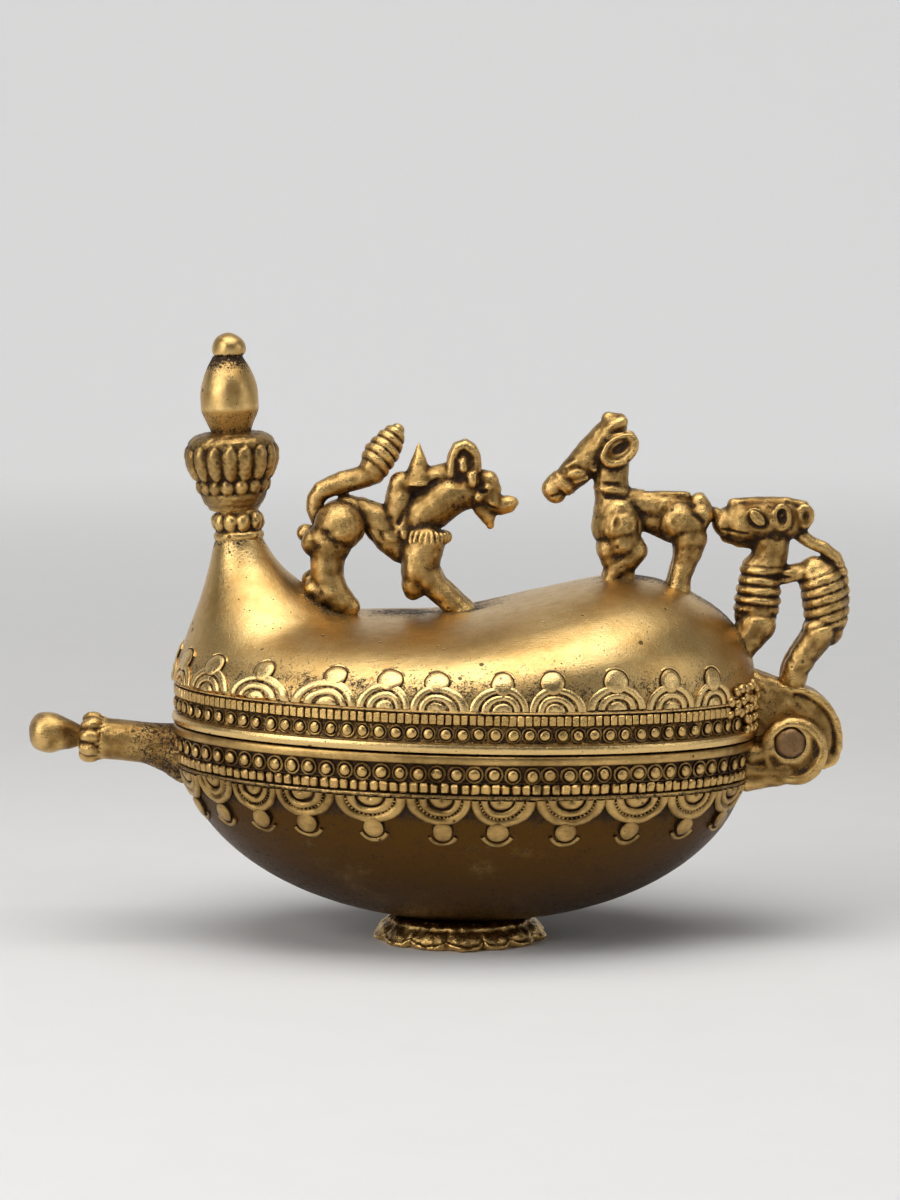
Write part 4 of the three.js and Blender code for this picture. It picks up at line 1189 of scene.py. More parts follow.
# The three animals
def kept_on_lid(obj, depth=1.5):
    """Draws the feet up to the lid's wall, so that nothing of them shows inside."""
    points = points_of(obj) / MM
    low = points - (0, 0, BAND_Z)
    deep = lid_gauge(low, -depth) < 1
    _, high = halved(low, low + (0, 0, 30), lambda at: (lid_gauge(at, -depth) < 1)[:, None], 22)
    points[deep, 2] = high[deep, 2] + BAND_Z
    set_points(obj, points * MM)
    return obj


def figure(name, wax, seed):
    obj = kept_on_lid(fused(wax.joined(name), 0.26, 6))
    rough(obj, 0.035, 3.6, seed)
    return rough(obj, 0.022, 1.5, seed + 1)


def lion():
    wax = Wax()
    wax.pair((-26.2, 2.8, 83.2, 5.1), (-28.1, 2.9, 80.7, 4.2), (-30.9, 2.7, 79.9, 3.0))
    wax.pair((-27.6, 2.9, 80, 4.2), (-28.3, 3.2, 77.3, 3.6), (-28.6, 3.5, 74.5, 3.35),
             (-28.2, 3.6, 71.7, 3.2))
    wax.limb((-28.4, -3.6, 73.0, 3.3), (-27.4, -3.7, 70.2, 3.3), (-25.6, -3.8, 68.4, 2.9),
             (-23.8, -3.9, 67.2, 2.2))
    wax.limb((-28.2, 3.6, 71.7, 3.2), (-29.6, 3.7, 70.2, 3.2), (-31.4, 3.8, 71.4, 2.4))
    wax.limb((-28.4, -3.7, 69.8, 2.8), (-30.7, -3.7, 70.8, 2.3))
    wax.limb((-33.2, 2.3, 81.3, 1.8), (-31, 2.6, 80.4, 2.4))
    wax.limb((-30.1, 0, 84.6, 2.2), (-31.3, 0, 86.4, 1.8), (-31.2, 0, 88.3, 1.8), (-29.9, 0, 90, 2),
             (-28, 0, 91, 2.1),
             (-25.8, 0, 91.9, 2.3), (-23.4, 0, 92.5, 2.3), (-21.3, 0, 93.1, 2.4), (-19.8, 0, 94.1, 2.7))
    wax.limb((-19.5, 0, 95.1, 3), (-18.5, 0, 97.2, 3.4), (-17.5, 0, 98.7, 3.3), (-16.5, 0, 100.3, 2.8),
             (-15.7, 0, 101.6, 2.1), (-15.1, 0, 102.5, 1.5))
    wax.limb((-24.5, 0, 85.4, 4), (-22, 0, 86.1, 2.9), (-19.3, 0, 85, 3.1), (-17.5, 0, 82.6, 3.3),
             (-15.7, 0, 80.6, 3.3),
             (-13.6, 0, 79, 3.2))
    wax.limb((-14.1, 0, 92, 2.4), (-14.2, 0, 89.1, 3), (-14.2, 0, 85.6, 3.2), (-13.4, 0, 82.2, 3.6))
    wax.limb((-14, 0, 91.4, 2.4), (-10.4, 0, 92.5, 2.8), (-6.5, 0, 93.3, 2.6), (-3.6, 0, 94.2, 2.6))
    wax.bar((-10.5, 0, 91.6, 3.7), (-10.7, 0, 100.1, 0.25))
    wax.limb((-9.8, 0, 84.7, 4.1), (-9.2, 0, 85.9, 4.3), (-7.4, 0, 87.3, 4.4), (-4.5, 0, 89.6, 4.3),
             (-1.6, 0, 90.3, 3.6),
             (1, 0, 89.9, 2.7), (3.4, 0, 90, 2.4), (4.4, 0, 88.6, 2.3))
    wax.limb((2.4, 0, 93.2, 2), (3.4, 0, 92.8, 2.2), (4.1, 0, 91.2, 2))
    wax.limb((4.4, 0, 88.2, 2), (6, 0, 87.9, 1.9), (7.6, 0, 88.3, 1.75), (8.4, 0, 88.6, 1.3))
    wax.limb((2.3, 0, 87.4, 1.9), (3.5, 0, 85.6, 1.6), (4, 0, 84.0, 0.9))
    wax.pair((-4.1, 1.9, 94.4, 1.1), (-3.8, 1.9, 97.5, 1.1), (-3, 1.9, 99.4, 1.1), (-1.5, 1.9, 100, 1.1),
             (0, 1.9, 99.2, 1.1), (0.9, 1.9, 97.6, 1), (1.1, 1.9, 95.3, 1))
    wax.limb((-1.5, 0, 98.4, 2.3), (-1.5, 0, 96.9, 2.4), (-1.1, 0, 94.6, 2.7))
    for side in (-1, 1):
        wax.limb((-1.8, side * 2.3, 96.9, 0.8), (-1.7, side * 2.4, 95.4, 1.0))
        wax.limb((0.2, side * 2.4, 94.0, 1.2), (0.4, side * 2.5, 92.6, 1.2))
        wax.ball((1.5, side * 2.3, 89.5), 1.0)
        wax.ball((4.3, side * 1.6, 88.6), 0.9)
        wax.ball((3.3, side * 1.8, 91.6), 0.85)
    wax.pair((-8.9, 1.9, 80.2, 4.0), (-9.6, 2.0, 77.9, 4.1), (-9.9, 2.2, 74.7, 3.9), (-10.7, 2.4, 71.9, 2.9),
             (-11.2, 2.5, 70.4, 1.8))
    wax.pair((-8.4, 2.6, 73.3, 3.3), (-6.7, 2.8, 71.3, 2.6), (-4.2, 3, 69.3, 2.5), (-2, 3.1, 67.5, 2.3),
             (-0.7, 3.2, 66.4, 2.3))
    wax.ring((-8.7, 0, 81.5), 4.15, 0.85, shape=(1, 1.08, 1.5), turn=(0, math.radians(3), 0))
    obj = figure("lion_cast", wax, 61)
    ribbed(obj, (-17.4, 0, 98.8), (0.62, 0.35, 0.78), 4.4, 4.2, 1.8, 0.6)
    points, normals = skin_of(obj)
    away = points - (-8.7, 0, 81.5)
    angle = np.arctan2(away[:, 1], away[:, 0])
    share = np.exp(-((away[:, 2] / 1.15) ** 6)) * smooth_step(np.hypot(away[:, 0], away[:, 1]), 3.9, 4.4)
    points += normals * (share * 0.5 * (np.abs(np.cos(14 * angle)) - 0.6))[:, None]
    set_points(obj, points * MM)
    hood = [(-3.2, 3.2, 94), (-3.1, 3.3, 96.9), (-1.6, 3.3, 98.7), (-0.1, 3.3, 97), (0.3, 3.3, 95.6)]
    scribed(obj, mirrored_lines([
        (hood, 0.42, 0.7),
        ([(-14.3, 3.2, 84.2), (-12.6, 3.6, 88), (-9.8, 3.2, 91), (-6.8, 2.6, 93)], 0.45, 0.5),
        ([(1.6, 3.2, 96), (1.5, 3, 93.5), (1.2, 3, 91.5)], 0.4, 0.5),
        ([(-23, 7.5, 87.4), (-21.2, 7, 84), (-22, 7, 80.2)], 0.5, 0.4),
        ([(3.2, 2.2, 87.9), (5.4, 2, 87.2)], 0.35, 0.4),
    ]))
    pressed(obj, mirrored([
        ((2.6, 2.4, 90.9), (0.9, 1.2, 0.45), 0, 0.5), ((-28, 7.5, 83), (3, 2, 1.6), 20, 0.1),
    ]))
    return relief_of_parts(obj, 1.2, 0.3, 0.3)


def deer():
    wax = Wax()
    wax.limb((29.4, 0, 84.4, 5.2), (29.2, 0, 87.3, 4.6), (28.4, 0, 90.8, 3.6), (28, 0, 93.6, 3.5),
             (28.2, 0, 96.3, 3.4),
             (28.7, 0, 99.5, 3.2))
    wax.pair((29.9, 1.3, 84.6, 4.8), (29.5, 1, 87, 4.2))
    wax.limb((28.3, 0, 104.3, 2.7), (26.4, 0, 101.7, 3.3), (24.4, 0, 99.2, 3.5), (22.5, 0, 96.9, 3.4),
             (20.6, 0, 94.8, 3.1),
             (19, 0, 93.1, 2.7), (17.3, 0, 92.4, 2.5), (16.6, 0, 91.5, 2.5), (16.9, 0, 90.9, 2.3))
    wax.limb((27.2, 0, 105.9, 1.5), (29.5, 0, 105.5, 1.6))
    for side in (-1, 1):
        wax.limb((29.8, side * 1.4, 105.4, 1.3), (28, side * 1.7, 104.5, 1.4), (26.3, side * 2.1, 102.4, 1.3),
                 (24.9, side * 2.4, 100.4, 1.15), (23.7, side * 2.6, 98.6, 0.9))
        turn = (math.pi / 2, math.radians(-36), 0)
        wax.ring((29.3, side * 3.5, 100), 2.75, 0.95, shape=(1.22, 0.88, 1), turn=turn)
        wax.ball((29.3, side * 3.2, 100), 1, (3.4, 1.1, 2.5), (0, math.radians(-36), 0))
        wax.limb((31.0, side * 2.0, 78.5, 1.9), (31.4, side * 2.4, 72.6, 2.15))
        wax.ball((21, side * 2.7, 95.0), 1, (2.1, 0.95, 1.25), (0, math.radians(-8), 0))
        wax.limb((19.1, side * 2.3, 96.2, 0.5), (20.6, side * 2.6, 97.2, 0.55), (22.7, side * 2.8, 97, 0.55),
                 (24.6, side * 2.7, 95.9, 0.55))
        wax.limb((19.2, side * 2.4, 94.2, 0.35), (21, side * 2.7, 93.3, 0.4), (23.2, side * 2.8, 94.1, 0.4))
    wax.ring((18.6, 0, 92.9), 2.65, 0.42, turn=(0, math.radians(45), 0))
    wax.ring((17.9, 0, 92.3), 2.5, 0.35, turn=(0, math.radians(45), 0))
    wax.ring((28.3, 0, 91.8), 3.35, 0.55, turn=(0, math.radians(6), 0))
    wax.pair((30.6, 2, 81.4, 3.9), (32.8, 2.3, 79.8, 2.9), (31.4, 2.4, 77.8, 2.7),
             (29.6, 2.5, 76.1, 2.35), (28.7, 2.5, 74.2, 2),
             (28.7, 2.6, 72.4, 2.1))
    wax.pair((28.6, 1.6, 80, 3.3), (29, 2, 77.6, 2.6))
    wax.limb((31.5, 0, 89.3, 3), (33.5, 0, 89.1, 2.9), (36.3, 0, 88.5, 3.3), (39.4, 0, 87.6, 3.8),
             (41.9, 0, 86.8, 4))
    wax.limb((34.5, 0, 90.7, 1.1), (38.3, 0, 91, 1.5), (42.6, 0, 91, 1.5))
    wax.limb((35.3, 0, 86.2, 2.8), (38.4, 0, 85.6, 3.4), (41, 0, 85, 3.9))
    wax.pair((41.6, 1.8, 85.8, 4.1), (43.7, 1.9, 84.7, 3.7), (46, 1.2, 87.2, 2.7))
    wax.pair((45.8, 1, 89.7, 1.8), (46.6, 0.8, 88.4, 1.9))
    wax.limb((47.1, 0, 87.1, 2), (48.8, 0, 87.3, 1.45), (50.3, 0, 86.8, 1.3))
    wax.pair((44, 2.2, 82.6, 3.6), (43.8, 2.4, 79.8, 2.9), (43.1, 2.6, 77.3, 2.4),
             (42.3, 2.7, 74.5, 2.25), (42, 2.8, 72.2, 2.6))
    obj = figure("deer_cast", wax, 63)
    scribed(obj, mirrored_lines([
        ([(24.6, 3.6, 96.5), (24.9, 4, 99), (26.6, 4, 101.8), (29.6, 3.8, 103.4),
        (31.4, 3.6, 103.2)], 0.38, 0.55), ([(19.2, 3.1, 95.9), (21, 3.5, 96.4), (23, 3.6, 95.6)], 0.3, 0.35),
        ([(16.2, 2, 90.1), (17.6, 2.3, 90.6)], 0.35, 0.35),
        ([(33.4, 4.5, 88.6), (34, 4.3, 86), (34, 4.2, 84)], 0.55, 0.5),
        ([(44.6, 4.5, 90), (45, 4.6, 87.6), (46.6, 4, 85.9)], 0.45, 0.4),
    ]))
    scribed(obj, [([(26, y, 90.5), (30.8, y, 90.4)], 0.4, 0.4) for y in (-3.4, 3.4)])
    scribed(obj, [([(26, y, 93.1), (30.6, y, 93)], 0.4, 0.4) for y in (-3.4, 3.4)])
    pressed(obj, mirrored([
        ((29.5, 4.6, 100.2), (2.2, 1.6, 1.1), 36, 0.5), ((29.4, 6, 85.4), (0.9, 1.6, 1.3), -15, 0.2),
        ((31.8, 5.6, 84.9), (0.7, 1.6, 1.1), -25, 0.18), ((41.2, 5.7, 86.1), (1.2, 1.6, 1.5), 0, 0.14),
        ((30.5, 5.7, 88), (1.2, 1.5, 1.0), 20, 0.1),
    ]))
    return relief_of_parts(levelled(obj, 91.4, 0.3, 34.9, 44.2), 1.2, 0.3, 0.3)


def tiger():
    wax = Wax()
    wax.limb((51.7, 0, 85.6, 3.2), (54.5, 0, 85.8, 4.3), (58.7, 0, 86.1, 4.5), (63, 0, 86.4, 4.2),
             (65.6, 0, 86.6, 3))
    wax.limb((53, 0, 89.2, 1.6), (57.6, 0, 89.7, 1.8), (63.3, 0, 89.8, 1.8), (66.6, 0, 89.2, 1.4))
    wax.limb((51.6, 0, 83, 1.4), (54.3, 0, 82.4, 1.8), (57.4, 0, 82.4, 2))
    for side in (-1, 1):
        wax.ball((57.3, side * 4.0, 87), 1, (2.6, 0.9, 1.7), (0, math.radians(45), 0))
        wax.ring((62.2, side * 3.75, 87.2), 1.7, 0.55, shape=(0.9, 1.3, 1), turn=(math.pi / 2, 0, 0))
        wax.ring((66.9, side * 2.6, 87.5), 1.5, 0.6, shape=(0.95, 1.2, 1), turn=(math.pi / 2, 0, 0))
        wax.ball((66.6, side * 2.2, 87.5), 1.5)
    wax.limb((60.5, 0, 82, 3.8), (60.5, 0, 80.7, 3.7), (60.1, 0, 77.8, 3.7), (58.3, 0, 75.9, 3.9),
             (58.4, 0, 73, 4.4),
             (58.2, 0, 70.1, 4.7), (57.9, 0, 67.5, 4.4))
    wax.pair((58.1, 1.8, 65.4, 3.9), (56.6, 2.5, 62.9, 3.3), (55.2, 2.9, 60.6, 2.8), (54.8, 3.2, 59, 2.5))
    wax.limb((60.5, 0, 75.4, 2), (62.4, 0, 75.1, 1.8), (65.2, 0, 75.8, 1.9), (68, 0, 75.9, 2.4))
    wax.limb((69.4, 0, 76.2, 3.2), (70.9, 0, 73.8, 4.4), (71.7, 0, 70.7, 4.6), (72.1, 0, 67.4, 4.5),
             (72.1, 0, 64.6, 3.6))
    wax.pair((70.8, 1.6, 64.4, 3.3), (70, 1.6, 62.6, 3.1), (67.8, 2.1, 59.6, 2.8), (66.3, 2.3, 56.8, 2.7),
             (65.8, 2.2, 54.8, 2.7))
    wax.limb((65.8, 0, 84.6, 1.7), (66.6, 0, 83.3, 1.5), (68.3, 0, 82.1, 1.35), (71, 0, 81, 1.35),
             (73.5, 0, 79.1, 1.35),
             (74.8, 0, 76.3, 1.3), (75.3, 0, 72.5, 1.3), (75.5, 0, 68.2, 1.2), (74.2, 0, 64.6, 1.1))
    obj = figure("tiger_cast", wax, 65)
    ribbed(obj, (58.2, 0, 72.25), (0.05, 0, 1), 4.9, 6.2, 2.0, 0.6, 0.8)
    ribbed(obj, (71.5, 0, 70.8), (-0.34, 0, 0.94), 5.8, 6.2, 1.93, 0.45)

    def eyelid(angle):
        along, across = 2.5 * math.cos(angle), 1.6 * math.sin(angle)
        return 57.3 + 0.71 * (along + across), 87 + 0.71 * (across - along)

    almond = [eyelid(angle) for angle in np.linspace(0, TURN, 17)]
    scribed(obj, mirrored_lines([
        ([(x, 4.6, z) for x, z in almond], 0.36, 0.8),
        ([(55.9, 4.9, 87.6), (57.2, 5.1, 86.2), (58.2, 4.9, 85.4)], 0.3, 0.35),
        ([(56.5, 4.9, 88.4), (58, 5.1, 87.1), (59, 4.9, 86.1)], 0.3, 0.35),
        ([(50.6, 2.6, 84.3), (53, 3.8, 83.9), (55.4, 3.9, 83.6)], 0.35, 0.4),
        ([(64.6, 4, 90), (64.8, 4, 87.5), (64.4, 4, 84.6)], 0.35, 0.4),
        ([(60, 3.5, 83.2), (61.4, 3.6, 82.4), (63, 3.4, 83.2)], 0.4, 0.35),
    ]))
    pressed(obj, mirrored([
        ((62.2, 4.4, 87.2), (1.0, 1.4, 1.7), 8, 0.55), ((62.3, 4.2, 87.6), (0.6, 1.4, 0.6), 0, -0.5),
        ((67, 3.4, 87.5), (0.8, 1.4, 1.1), 0, 0.6),
    ]))
    return relief_of_parts(levelled(obj, 90.3, 0.6), 1.2, 0.3, 0.3)


# Finishes
class Group:
    """A shader group under construction, with named sockets."""

    def __init__(self, name, ins, outs):
        self.tree = bpy.data.node_groups.new(name, "ShaderNodeTree")
        for label, kind, value in ins:
            socket = self.tree.interface.new_socket(label, in_out="INPUT", socket_type="NodeSocket" + kind)
            if value is not None:
                socket.default_value = value
        for label, kind in outs:
            self.tree.interface.new_socket(label, in_out="OUTPUT", socket_type="NodeSocket" + kind)
        self.ins = self.tree.nodes.new("NodeGroupInput")
        self.outs = self.tree.nodes.new("NodeGroupOutput")

    def __getitem__(self, label):
        return self.ins.outputs[label]

    def give(self, label, socket):
        self.tree.links.new(socket, self.outs.inputs[label])

    def math(self, operation, a, b=0.0, c=None, clamp=False):
        node = self.tree.nodes.new("ShaderNodeMath")
        node.operation = operation
        node.use_clamp = clamp
        for index, value in enumerate((a, b, c)):
            if value is not None:
                self.feed(node.inputs[index], value)
        return node.outputs[0]

    def feed(self, socket, value):
        if isinstance(value, (int, float, tuple)):
            socket.default_value = value
        else:
            self.tree.links.new(value, socket)

    def noise(self, vector, scale, detail=3.0, rough=0.55, warp=0.0, kind="ShaderNodeTexNoise"):
        node = self.tree.nodes.new(kind)
        self.feed(node.inputs["Vector"], vector)
        self.feed(node.inputs["Scale"], scale)
        if kind == "ShaderNodeTexNoise":
            node.inputs["Detail"].default_value = detail
            node.inputs["Roughness"].default_value = rough
            node.inputs["Distortion"].default_value = warp
        return node.outputs[0]

    def spread(self, value, low, high, out_low=0.0, out_high=1.0):
        node = self.tree.nodes.new("ShaderNodeMapRange")
        node.interpolation_type = "SMOOTHSTEP"
        limits = {"Value": value, "From Min": low, "From Max": high, "To Min": out_low, "To Max": out_high}
        for label, given in limits.items():
            self.feed(node.inputs[label], given)
        return node.outputs[0]

    def blend(self, share, a, b, kind="MIX"):
        node = self.tree.nodes.new("ShaderNodeMix")
        node.data_type = "RGBA"
        node.blend_type = kind
        self.feed(node.inputs[0], share)
        self.feed(node.inputs[6], a)
        self.feed(node.inputs[7], b)
        return node.outputs[2]


def grain_group():
    """Height of the cast skin: soft lumps, fine grain and scattered pits."""
    group = Group("Cast grain", [
        ("Vector", "Vector", None), ("Lumps", "Float", 0.5), ("Grain", "Float", 0.5), ("Pits", "Float", 0.5),
    ], [("Height", "Float"), ("Pit", "Float")])
    lumps = group.noise(group["Vector"], 420, 2)
    grain = group.noise(group["Vector"], 2600, 4, 0.65)
    cells = group.noise(group["Vector"], 900, kind="ShaderNodeTexVoronoi")
    patch = group.noise(group["Vector"], 160, 2)
    pit = group.math("MULTIPLY", group.spread(cells, 0.16, 0.05), group.spread(patch, 0.46, 0.58))
    hollows = group.noise(group["Vector"], 210, kind="ShaderNodeTexVoronoi")
    near = group.math("ADD", hollows, group.math("MULTIPLY", lumps, 0.16))
    pit = group.math("MAXIMUM", pit, group.math("MULTIPLY", group.spread(near, 0.18, 0.14), 0.8))
    height = group.math("MULTIPLY", lumps, group["Lumps"])
    height = group.math("MULTIPLY_ADD", grain, group["Grain"], height)
    height = group.math("SUBTRACT", height, group.math("MULTIPLY", pit, group["Pits"]))
    group.give("Height", height)
    group.give("Pit", pit)
    return group.tree


def brushed_group():
    """Fine rubbing marks that run mostly along the box."""
    group = Group("Rubbing marks", [("Vector", "Vector", None), ("Scale", "Float", 1.0)], [("Mark", "Float")])
    stretch = group.tree.nodes.new("ShaderNodeVectorMath")
    stretch.operation = "MULTIPLY"
    group.tree.links.new(group["Vector"], stretch.inputs[0])
    stretch.inputs[1].default_value = (0.12, 1, 1)
    fine = group.noise(stretch.outputs[0], 2400, 3, 0.7, 0.4)
    group.give("Mark", group.math("MULTIPLY", fine, group["Scale"]))
    return group.tree


def patina_group(grain, brushed):
    """Brass that is rubbed bright on what stands proud and brown to black where old soiling has settled and
    where shade is painted in.
    """
    group = Group("Old brass", [
        ("Vector", "Vector", None), ("Relief", "Float", 0.5), ("Grime_and_shade", "Float", 0.0),
        ("Bright", "Color", (0.84, 0.59, 0.25, 1)), ("Middle", "Color", (0.48, 0.27, 0.075, 1)),
        ("Dark", "Color", (0.03, 0.014, 0.005, 1)), ("Polish", "Float", 0.5), ("Lumps", "Float", 0.5),
        ("Grain", "Float", 0.5), ("Pits", "Float", 0.5), ("Speckle", "Float", 1.0), ("Wear", "Float", 0.0),
    ], [("Color", "Color"), ("Roughness", "Float"), ("Metallic", "Float"), ("Height", "Float")])
    skin = group.tree.nodes.new("ShaderNodeGroup")
    skin.node_tree = grain
    for label in ("Vector", "Lumps", "Grain", "Pits"):
        group.tree.links.new(group[label], skin.inputs[label])
    rub = group.tree.nodes.new("ShaderNodeGroup")
    rub.node_tree = brushed
    group.tree.links.new(group["Vector"], rub.inputs["Vector"])
    clouds = group.noise(group["Vector"], 75, 4, 0.6)
    specks = group.noise(group["Vector"], 1500, 3, 0.6)
    patches = group.noise(group["Vector"], 420, 3, 0.6)
    fine = group.noise(group["Vector"], 3300, 2, 0.6)
    uneven = group.math("ADD", group.math("MULTIPLY", group.math("SUBTRACT", specks, 0.5), 1.1),
                        group.math("MULTIPLY", group.math("SUBTRACT", patches, 0.5), 1.0))
    uneven = group.math("ADD", uneven, group.math("MULTIPLY", group.math("SUBTRACT", fine, 0.5), 1.5))
    # The grime mark brings painted shade as well as soiling into this darkening
    dirt_and_shade = group.math("MULTIPLY_ADD", uneven, group["Speckle"], group["Grime_and_shade"])
    dirt_and_shade = group.math("SUBTRACT", dirt_and_shade, group.math("MULTIPLY", group["Relief"], 0.62))
    dirt_and_shade = group.spread(dirt_and_shade, -0.02, 0.62)
    dirt_and_shade = group.math("MAXIMUM", dirt_and_shade, group.math("MULTIPLY", skin.outputs["Pit"], 0.95))
    shine = group.math("MULTIPLY", group.math("SUBTRACT", clouds, 0.5), 0.9)
    shine = group.math("ADD", group["Relief"], shine)
    shine = group.math("ADD", shine, group.math("MULTIPLY", group.math("SUBTRACT", patches, 0.5), 0.5))
    shine = group.spread(group.math("ADD", shine, group["Wear"]), 0.15, 0.95)
    tone = group.blend(shine, group["Middle"], group["Bright"])
    streak = group.spread(rub.outputs["Mark"], 0.3, 0.7)
    tone = group.blend(group.math("MULTIPLY", streak, 0.24), tone, group["Middle"])
    tone = group.blend(dirt_and_shade, tone, group["Dark"])
    group.give("Color", tone)
    base = group.math("SUBTRACT", 0.43, group.math("MULTIPLY", group["Polish"], 0.27))
    base = group.math("MULTIPLY_ADD", clouds, 0.14, base)
    base = group.math("MULTIPLY_ADD", specks, 0.1, base)
    base = group.math("MULTIPLY_ADD", shine, -0.12, base)
    group.give("Roughness", group.math("MULTIPLY_ADD", dirt_and_shade, 0.3, base, clamp=True))
    group.give("Metallic", group.math("MULTIPLY_ADD", dirt_and_shade, -0.35, 1.0, clamp=True))
    height = group.math("MULTIPLY_ADD", streak, 0.08, skin.outputs["Height"])
    group.give("Height", height)
    return group.tree


GRAIN = grain_group()
BRUSHED = brushed_group()
PATINA = patina_group(GRAIN, BRUSHED)


def brass(name, bump, **settings):
    material = bpy.data.materials.new(name)
    material.use_nodes = True
    tree = material.node_tree
    link = tree.links.new
    shader = tree.nodes["Principled BSDF"]
    old = tree.nodes.new("ShaderNodeGroup")
    old.node_tree = PATINA
    old.label = "Old brass"
    for key, value in settings.items():
        old.inputs[key].default_value = value
    coords = tree.nodes.new("ShaderNodeTexCoord")
    link(coords.outputs["Object"], old.inputs["Vector"])
    for label in ("Relief", "Grime_and_shade"):
        reader = tree.nodes.new("ShaderNodeAttribute")
        reader.attribute_name = label.lower()
        link(reader.outputs["Fac"], old.inputs[label])
    relief = tree.nodes.new("ShaderNodeBump")
    relief.inputs["Strength"].default_value = 1.0
    relief.inputs["Distance"].default_value = bump * MM
    link(old.outputs["Height"], relief.inputs["Height"])
    link(relief.outputs["Normal"], shader.inputs["Normal"])
    for label, socket in (("Color", "Base Color"), ("Roughness", "Roughness"), ("Metallic", "Metallic")):
        link(old.outputs[label], shader.inputs[socket])
    return material


POLISHED = brass("Polished brass", 0.12, Polish=0.66, Lumps=0.35, Grain=0.6, Pits=1.2, Speckle=1.1)
WORN = brass("Worn brass", 0.12, Polish=0.6, Lumps=0.5, Grain=0.6, Pits=0.8, Bright=(0.72, 0.465, 0.165, 1),
             Middle=(0.09, 0.042, 0.009, 1), Wear=0.05)
CAST = brass("Cast brass", 0.15, Polish=0.72, Lumps=0.8, Grain=0.8, Pits=1.6, Speckle=1.3, Wear=-0.1,
             Bright=(0.77, 0.50, 0.18, 1), Middle=(0.155, 0.074, 0.016, 1))
DULL = brass("Dull brass", 0.14, Polish=0.3, Bright=(0.42, 0.265, 0.14, 1), Middle=(0.22, 0.125, 0.055, 1),
             Lumps=0.5, Grain=0.8, Pits=1)
SLOTS = {"brass_polished": POLISHED, "brass_worn": WORN, "brass_cast": CAST, "brass_dark": DULL}


def finished(obj, body, slot, *nodes, sharp=38, level=False):
    """Leans a piece with the box, smooths it, gives it its finish and hangs it on its body."""
    if not level:
        place(obj, LEANING)
    pick(obj)
    bpy.ops.object.shade_smooth_by_angle(angle=math.radians(sharp))
    obj.data.materials.clear()
    obj.data.materials.append(SLOTS[slot])
    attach(obj, body)
    if nodes:
        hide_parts(*nodes)
    return obj


# Assembly
finished(lid_shell(), "lid", "brass_polished", "lid_shell")
finished(bowl_shell(), "bowl", "brass_worn", "bowl_shell")
scallops, bosses, beads, rope = lid_ornament()
finished(scallops, "lid", "brass_polished")
finished(bosses, "lid", "brass_polished")
finished(lid_end_grains(), "lid", "brass_worn")
finished(beads, "lid", "brass_worn", "lid_bead_course")
finished(rope, "lid", "brass_worn", "lid_rope_course")
scallops, bosses, beads, rope = bowl_ornament()
finished(scallops, "bowl", "brass_worn")
finished(bosses, "bowl", "brass_worn")
finished(beads, "bowl", "brass_worn", "bowl_bead_course")
finished(rope, "bowl", "brass_worn", "bowl_rope_course")

finished(finial_collar(), "lid", "brass_worn", "finial_collar", sharp=60)
finished(lotus_cup(), "lid", "brass_worn", "finial_lotus_cup", sharp=60)
finished(finial_urn(), "lid", "brass_polished", "finial_urn", sharp=60)
finished(cap_button(), "lid", "brass_polished", "finial_cap", sharp=60)

finished(handle_stem(), "bowl", "brass_cast", "handle_stem", sharp=70)
finished(handle_collar(), "bowl", "brass_cast", "handle_collar", sharp=70)
finished(pear_end(), "bowl", "brass_cast", "handle_knob", sharp=70)
finished(petalled_foot(), "bowl", "brass_cast", "foot", sharp=60, level=True)

finished(hinge_ear("ear_front", -1), "bowl", "brass_cast", "hinge_ear_front", sharp=60)
finished(hinge_ear("ear_rear", 1), "bowl", "brass_cast", "hinge_ear_rear", sharp=60)
finished(hinge_pin(), "bowl", "brass_dark", "hinge_pin", sharp=50)
finished(hinge_tongue(), "lid", "brass_cast", "hinge_tongue", sharp=60)

finished(lion(), "lid", "brass_cast", "lion_figure", sharp=75)
finished(deer(), "lid", "brass_cast", "deer_figure", sharp=75)
finished(tiger(), "lid", "brass_cast", "tiger_figure", sharp=75)
Wax.clear()


# Stage, light and camera
PAPER_COLOUR = (0.80, 0.79, 0.77)
GLOW_MIDDLE = (0, 0.5, 0)
GLOW_START, GLOW_END, GLOW_MOST = 0.3, 1.1, 0.42
SHEET_SIZE, SHEET_BACK = 3, 1.5
BEND_RADIUS, BEND_STEPS = 0.7, 12
WALL_RISE = 2.2


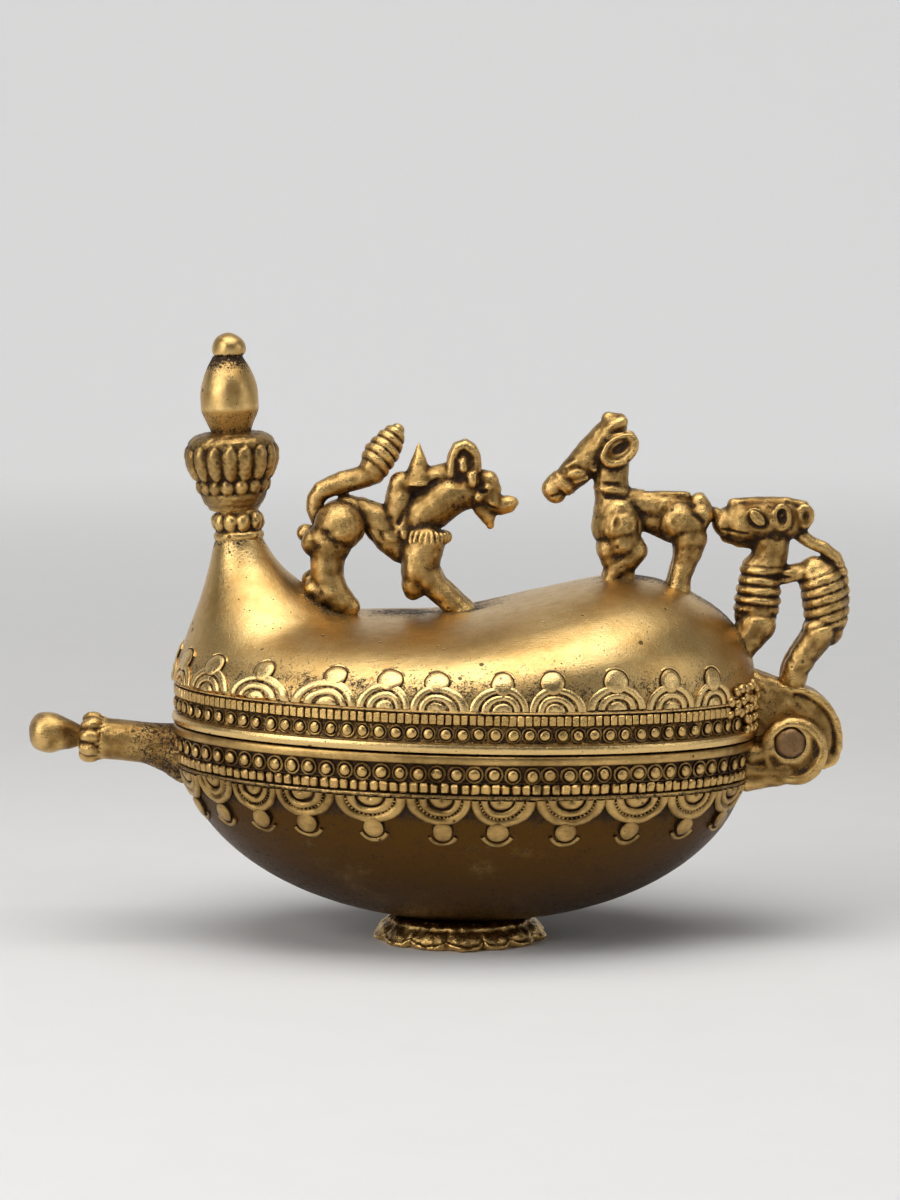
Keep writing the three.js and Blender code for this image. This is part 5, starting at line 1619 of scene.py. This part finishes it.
def plain(name, colour, roughness):
    """Paper that glows a little far from the box, to the eye and in reflections alone."""
    material = bpy.data.materials.new(name)
    material.use_nodes = True
    tree = material.node_tree
    link = tree.links.new
    shader = tree.nodes["Principled BSDF"]
    shader.inputs["Roughness"].default_value = roughness
    coords = tree.nodes.new("ShaderNodeTexCoord")
    noise = tree.nodes.new("ShaderNodeTexNoise")
    noise.inputs["Scale"].default_value = 60
    mix = tree.nodes.new("ShaderNodeMix")
    mix.data_type = "RGBA"
    mix.inputs[6].default_value = (*(c * 0.97 for c in colour), 1)
    mix.inputs[7].default_value = (*colour, 1)
    link(coords.outputs["Object"], noise.inputs["Vector"])
    link(noise.outputs[0], mix.inputs[0])
    link(mix.outputs[2], shader.inputs["Base Color"])
    away = tree.nodes.new("ShaderNodeVectorMath")
    away.operation = "DISTANCE"
    away.inputs[1].default_value = GLOW_MIDDLE
    link(coords.outputs["Object"], away.inputs[0])
    glow = tree.nodes.new("ShaderNodeMapRange")
    glow.inputs["From Min"].default_value = GLOW_START
    glow.inputs["From Max"].default_value = GLOW_END
    glow.inputs["To Max"].default_value = GLOW_MOST
    link(away.outputs["Value"], glow.inputs["Value"])
    seen = tree.nodes.new("ShaderNodeLightPath")
    either = tree.nodes.new("ShaderNodeMath")
    either.operation = "MAXIMUM"
    link(seen.outputs["Is Camera Ray"], either.inputs[0])
    link(seen.outputs["Is Glossy Ray"], either.inputs[1])
    share = tree.nodes.new("ShaderNodeMath")
    share.operation = "MULTIPLY"
    link(either.outputs[0], share.inputs[0])
    link(glow.outputs[0], share.inputs[1])
    link(share.outputs[0], shader.inputs["Emission Color"])
    shader.inputs["Emission Strength"].default_value = 1.0
    return material


def backdrop():
    """One sheet: a level floor that curves up into a plain wall."""
    bpy.ops.object.select_all(action="DESELECT")
    bpy.ops.mesh.primitive_plane_add(size=SHEET_SIZE, location=(0, -0.5, 0))
    obj = named("backdrop")
    for vertex in obj.data.vertices:
        vertex.co.x *= 3
        vertex.co.y = min(vertex.co.y * 4, SHEET_BACK)
    edit(obj)
    bpy.ops.mesh.select_mode(type="EDGE")
    bpy.ops.mesh.select_all(action="DESELECT")
    bpy.ops.object.mode_set(mode="OBJECT")
    for edge in obj.data.edges:
        ends = [obj.data.vertices[index].co.y for index in edge.vertices]
        edge.select = min(ends) > SHEET_BACK - 0.1
    bpy.ops.object.mode_set(mode="EDIT")
    for step in range(BEND_STEPS):
        before = step / BEND_STEPS * math.pi / 2
        angle = (step + 1) / BEND_STEPS * math.pi / 2
        forward = BEND_RADIUS * (math.sin(angle) - math.sin(before))
        move = (0, forward, BEND_RADIUS * (math.cos(before) - math.cos(angle)))
        bpy.ops.mesh.extrude_region_move(TRANSFORM_OT_translate={"value": move})
    bpy.ops.mesh.extrude_region_move(TRANSFORM_OT_translate={"value": (0, 0, WALL_RISE)})
    bpy.ops.mesh.select_mode(type="VERT")
    bpy.ops.object.mode_set(mode="OBJECT")
    bpy.ops.object.shade_smooth()
    obj.data.materials.append(plain("Paper", PAPER_COLOUR, 0.9))
    return obj


def softbox(name, location, target, size, power, colour=(1, 1, 1)):
    light = bpy.data.lights.new(name, "AREA")
    light.shape = "RECTANGLE"
    light.size, light.size_y = size
    light.energy = power
    light.color = colour
    obj = bpy.data.objects.new(name, light)
    bpy.context.collection.objects.link(obj)
    obj.location = location
    obj.rotation_euler = (Vector(target) - Vector(location)).to_track_quat("-Z", "Y").to_euler()
    return obj


backdrop()
softbox("over", (0.0, -0.2, 0.88), (0, 0, 0.05), (0.95, 0.8), 7.0)
softbox("key", (-0.72, -0.62, 0.46), (0, 0, 0.06), (0.6, 0.7), 4.8)
softbox("side", (0.85, -0.35, 0.35), (0, 0, 0.06), (0.25, 0.4), 0.8)

world = bpy.data.worlds.new("Studio")
bpy.context.scene.world = world
world.use_nodes = True
world.node_tree.nodes["Background"].inputs[0].default_value = (0.9, 0.93, 1, 1)
world.node_tree.nodes["Background"].inputs[1].default_value = 0.13

CAMERA_AT = (-0.002, -0.835, 0.162)
CAMERA_DIP = 6.378

camera = bpy.data.cameras.new("camera")
camera.lens = 125.25
camera.sensor_width = 36
camera_object = bpy.data.objects.new("camera", camera)
bpy.context.collection.objects.link(camera_object)
camera_object.location = CAMERA_AT
camera_object.rotation_euler = (math.radians(90 - CAMERA_DIP), 0, 0)
bpy.context.scene.camera = camera_object
bpy.context.scene.view_settings.view_transform = "Standard"
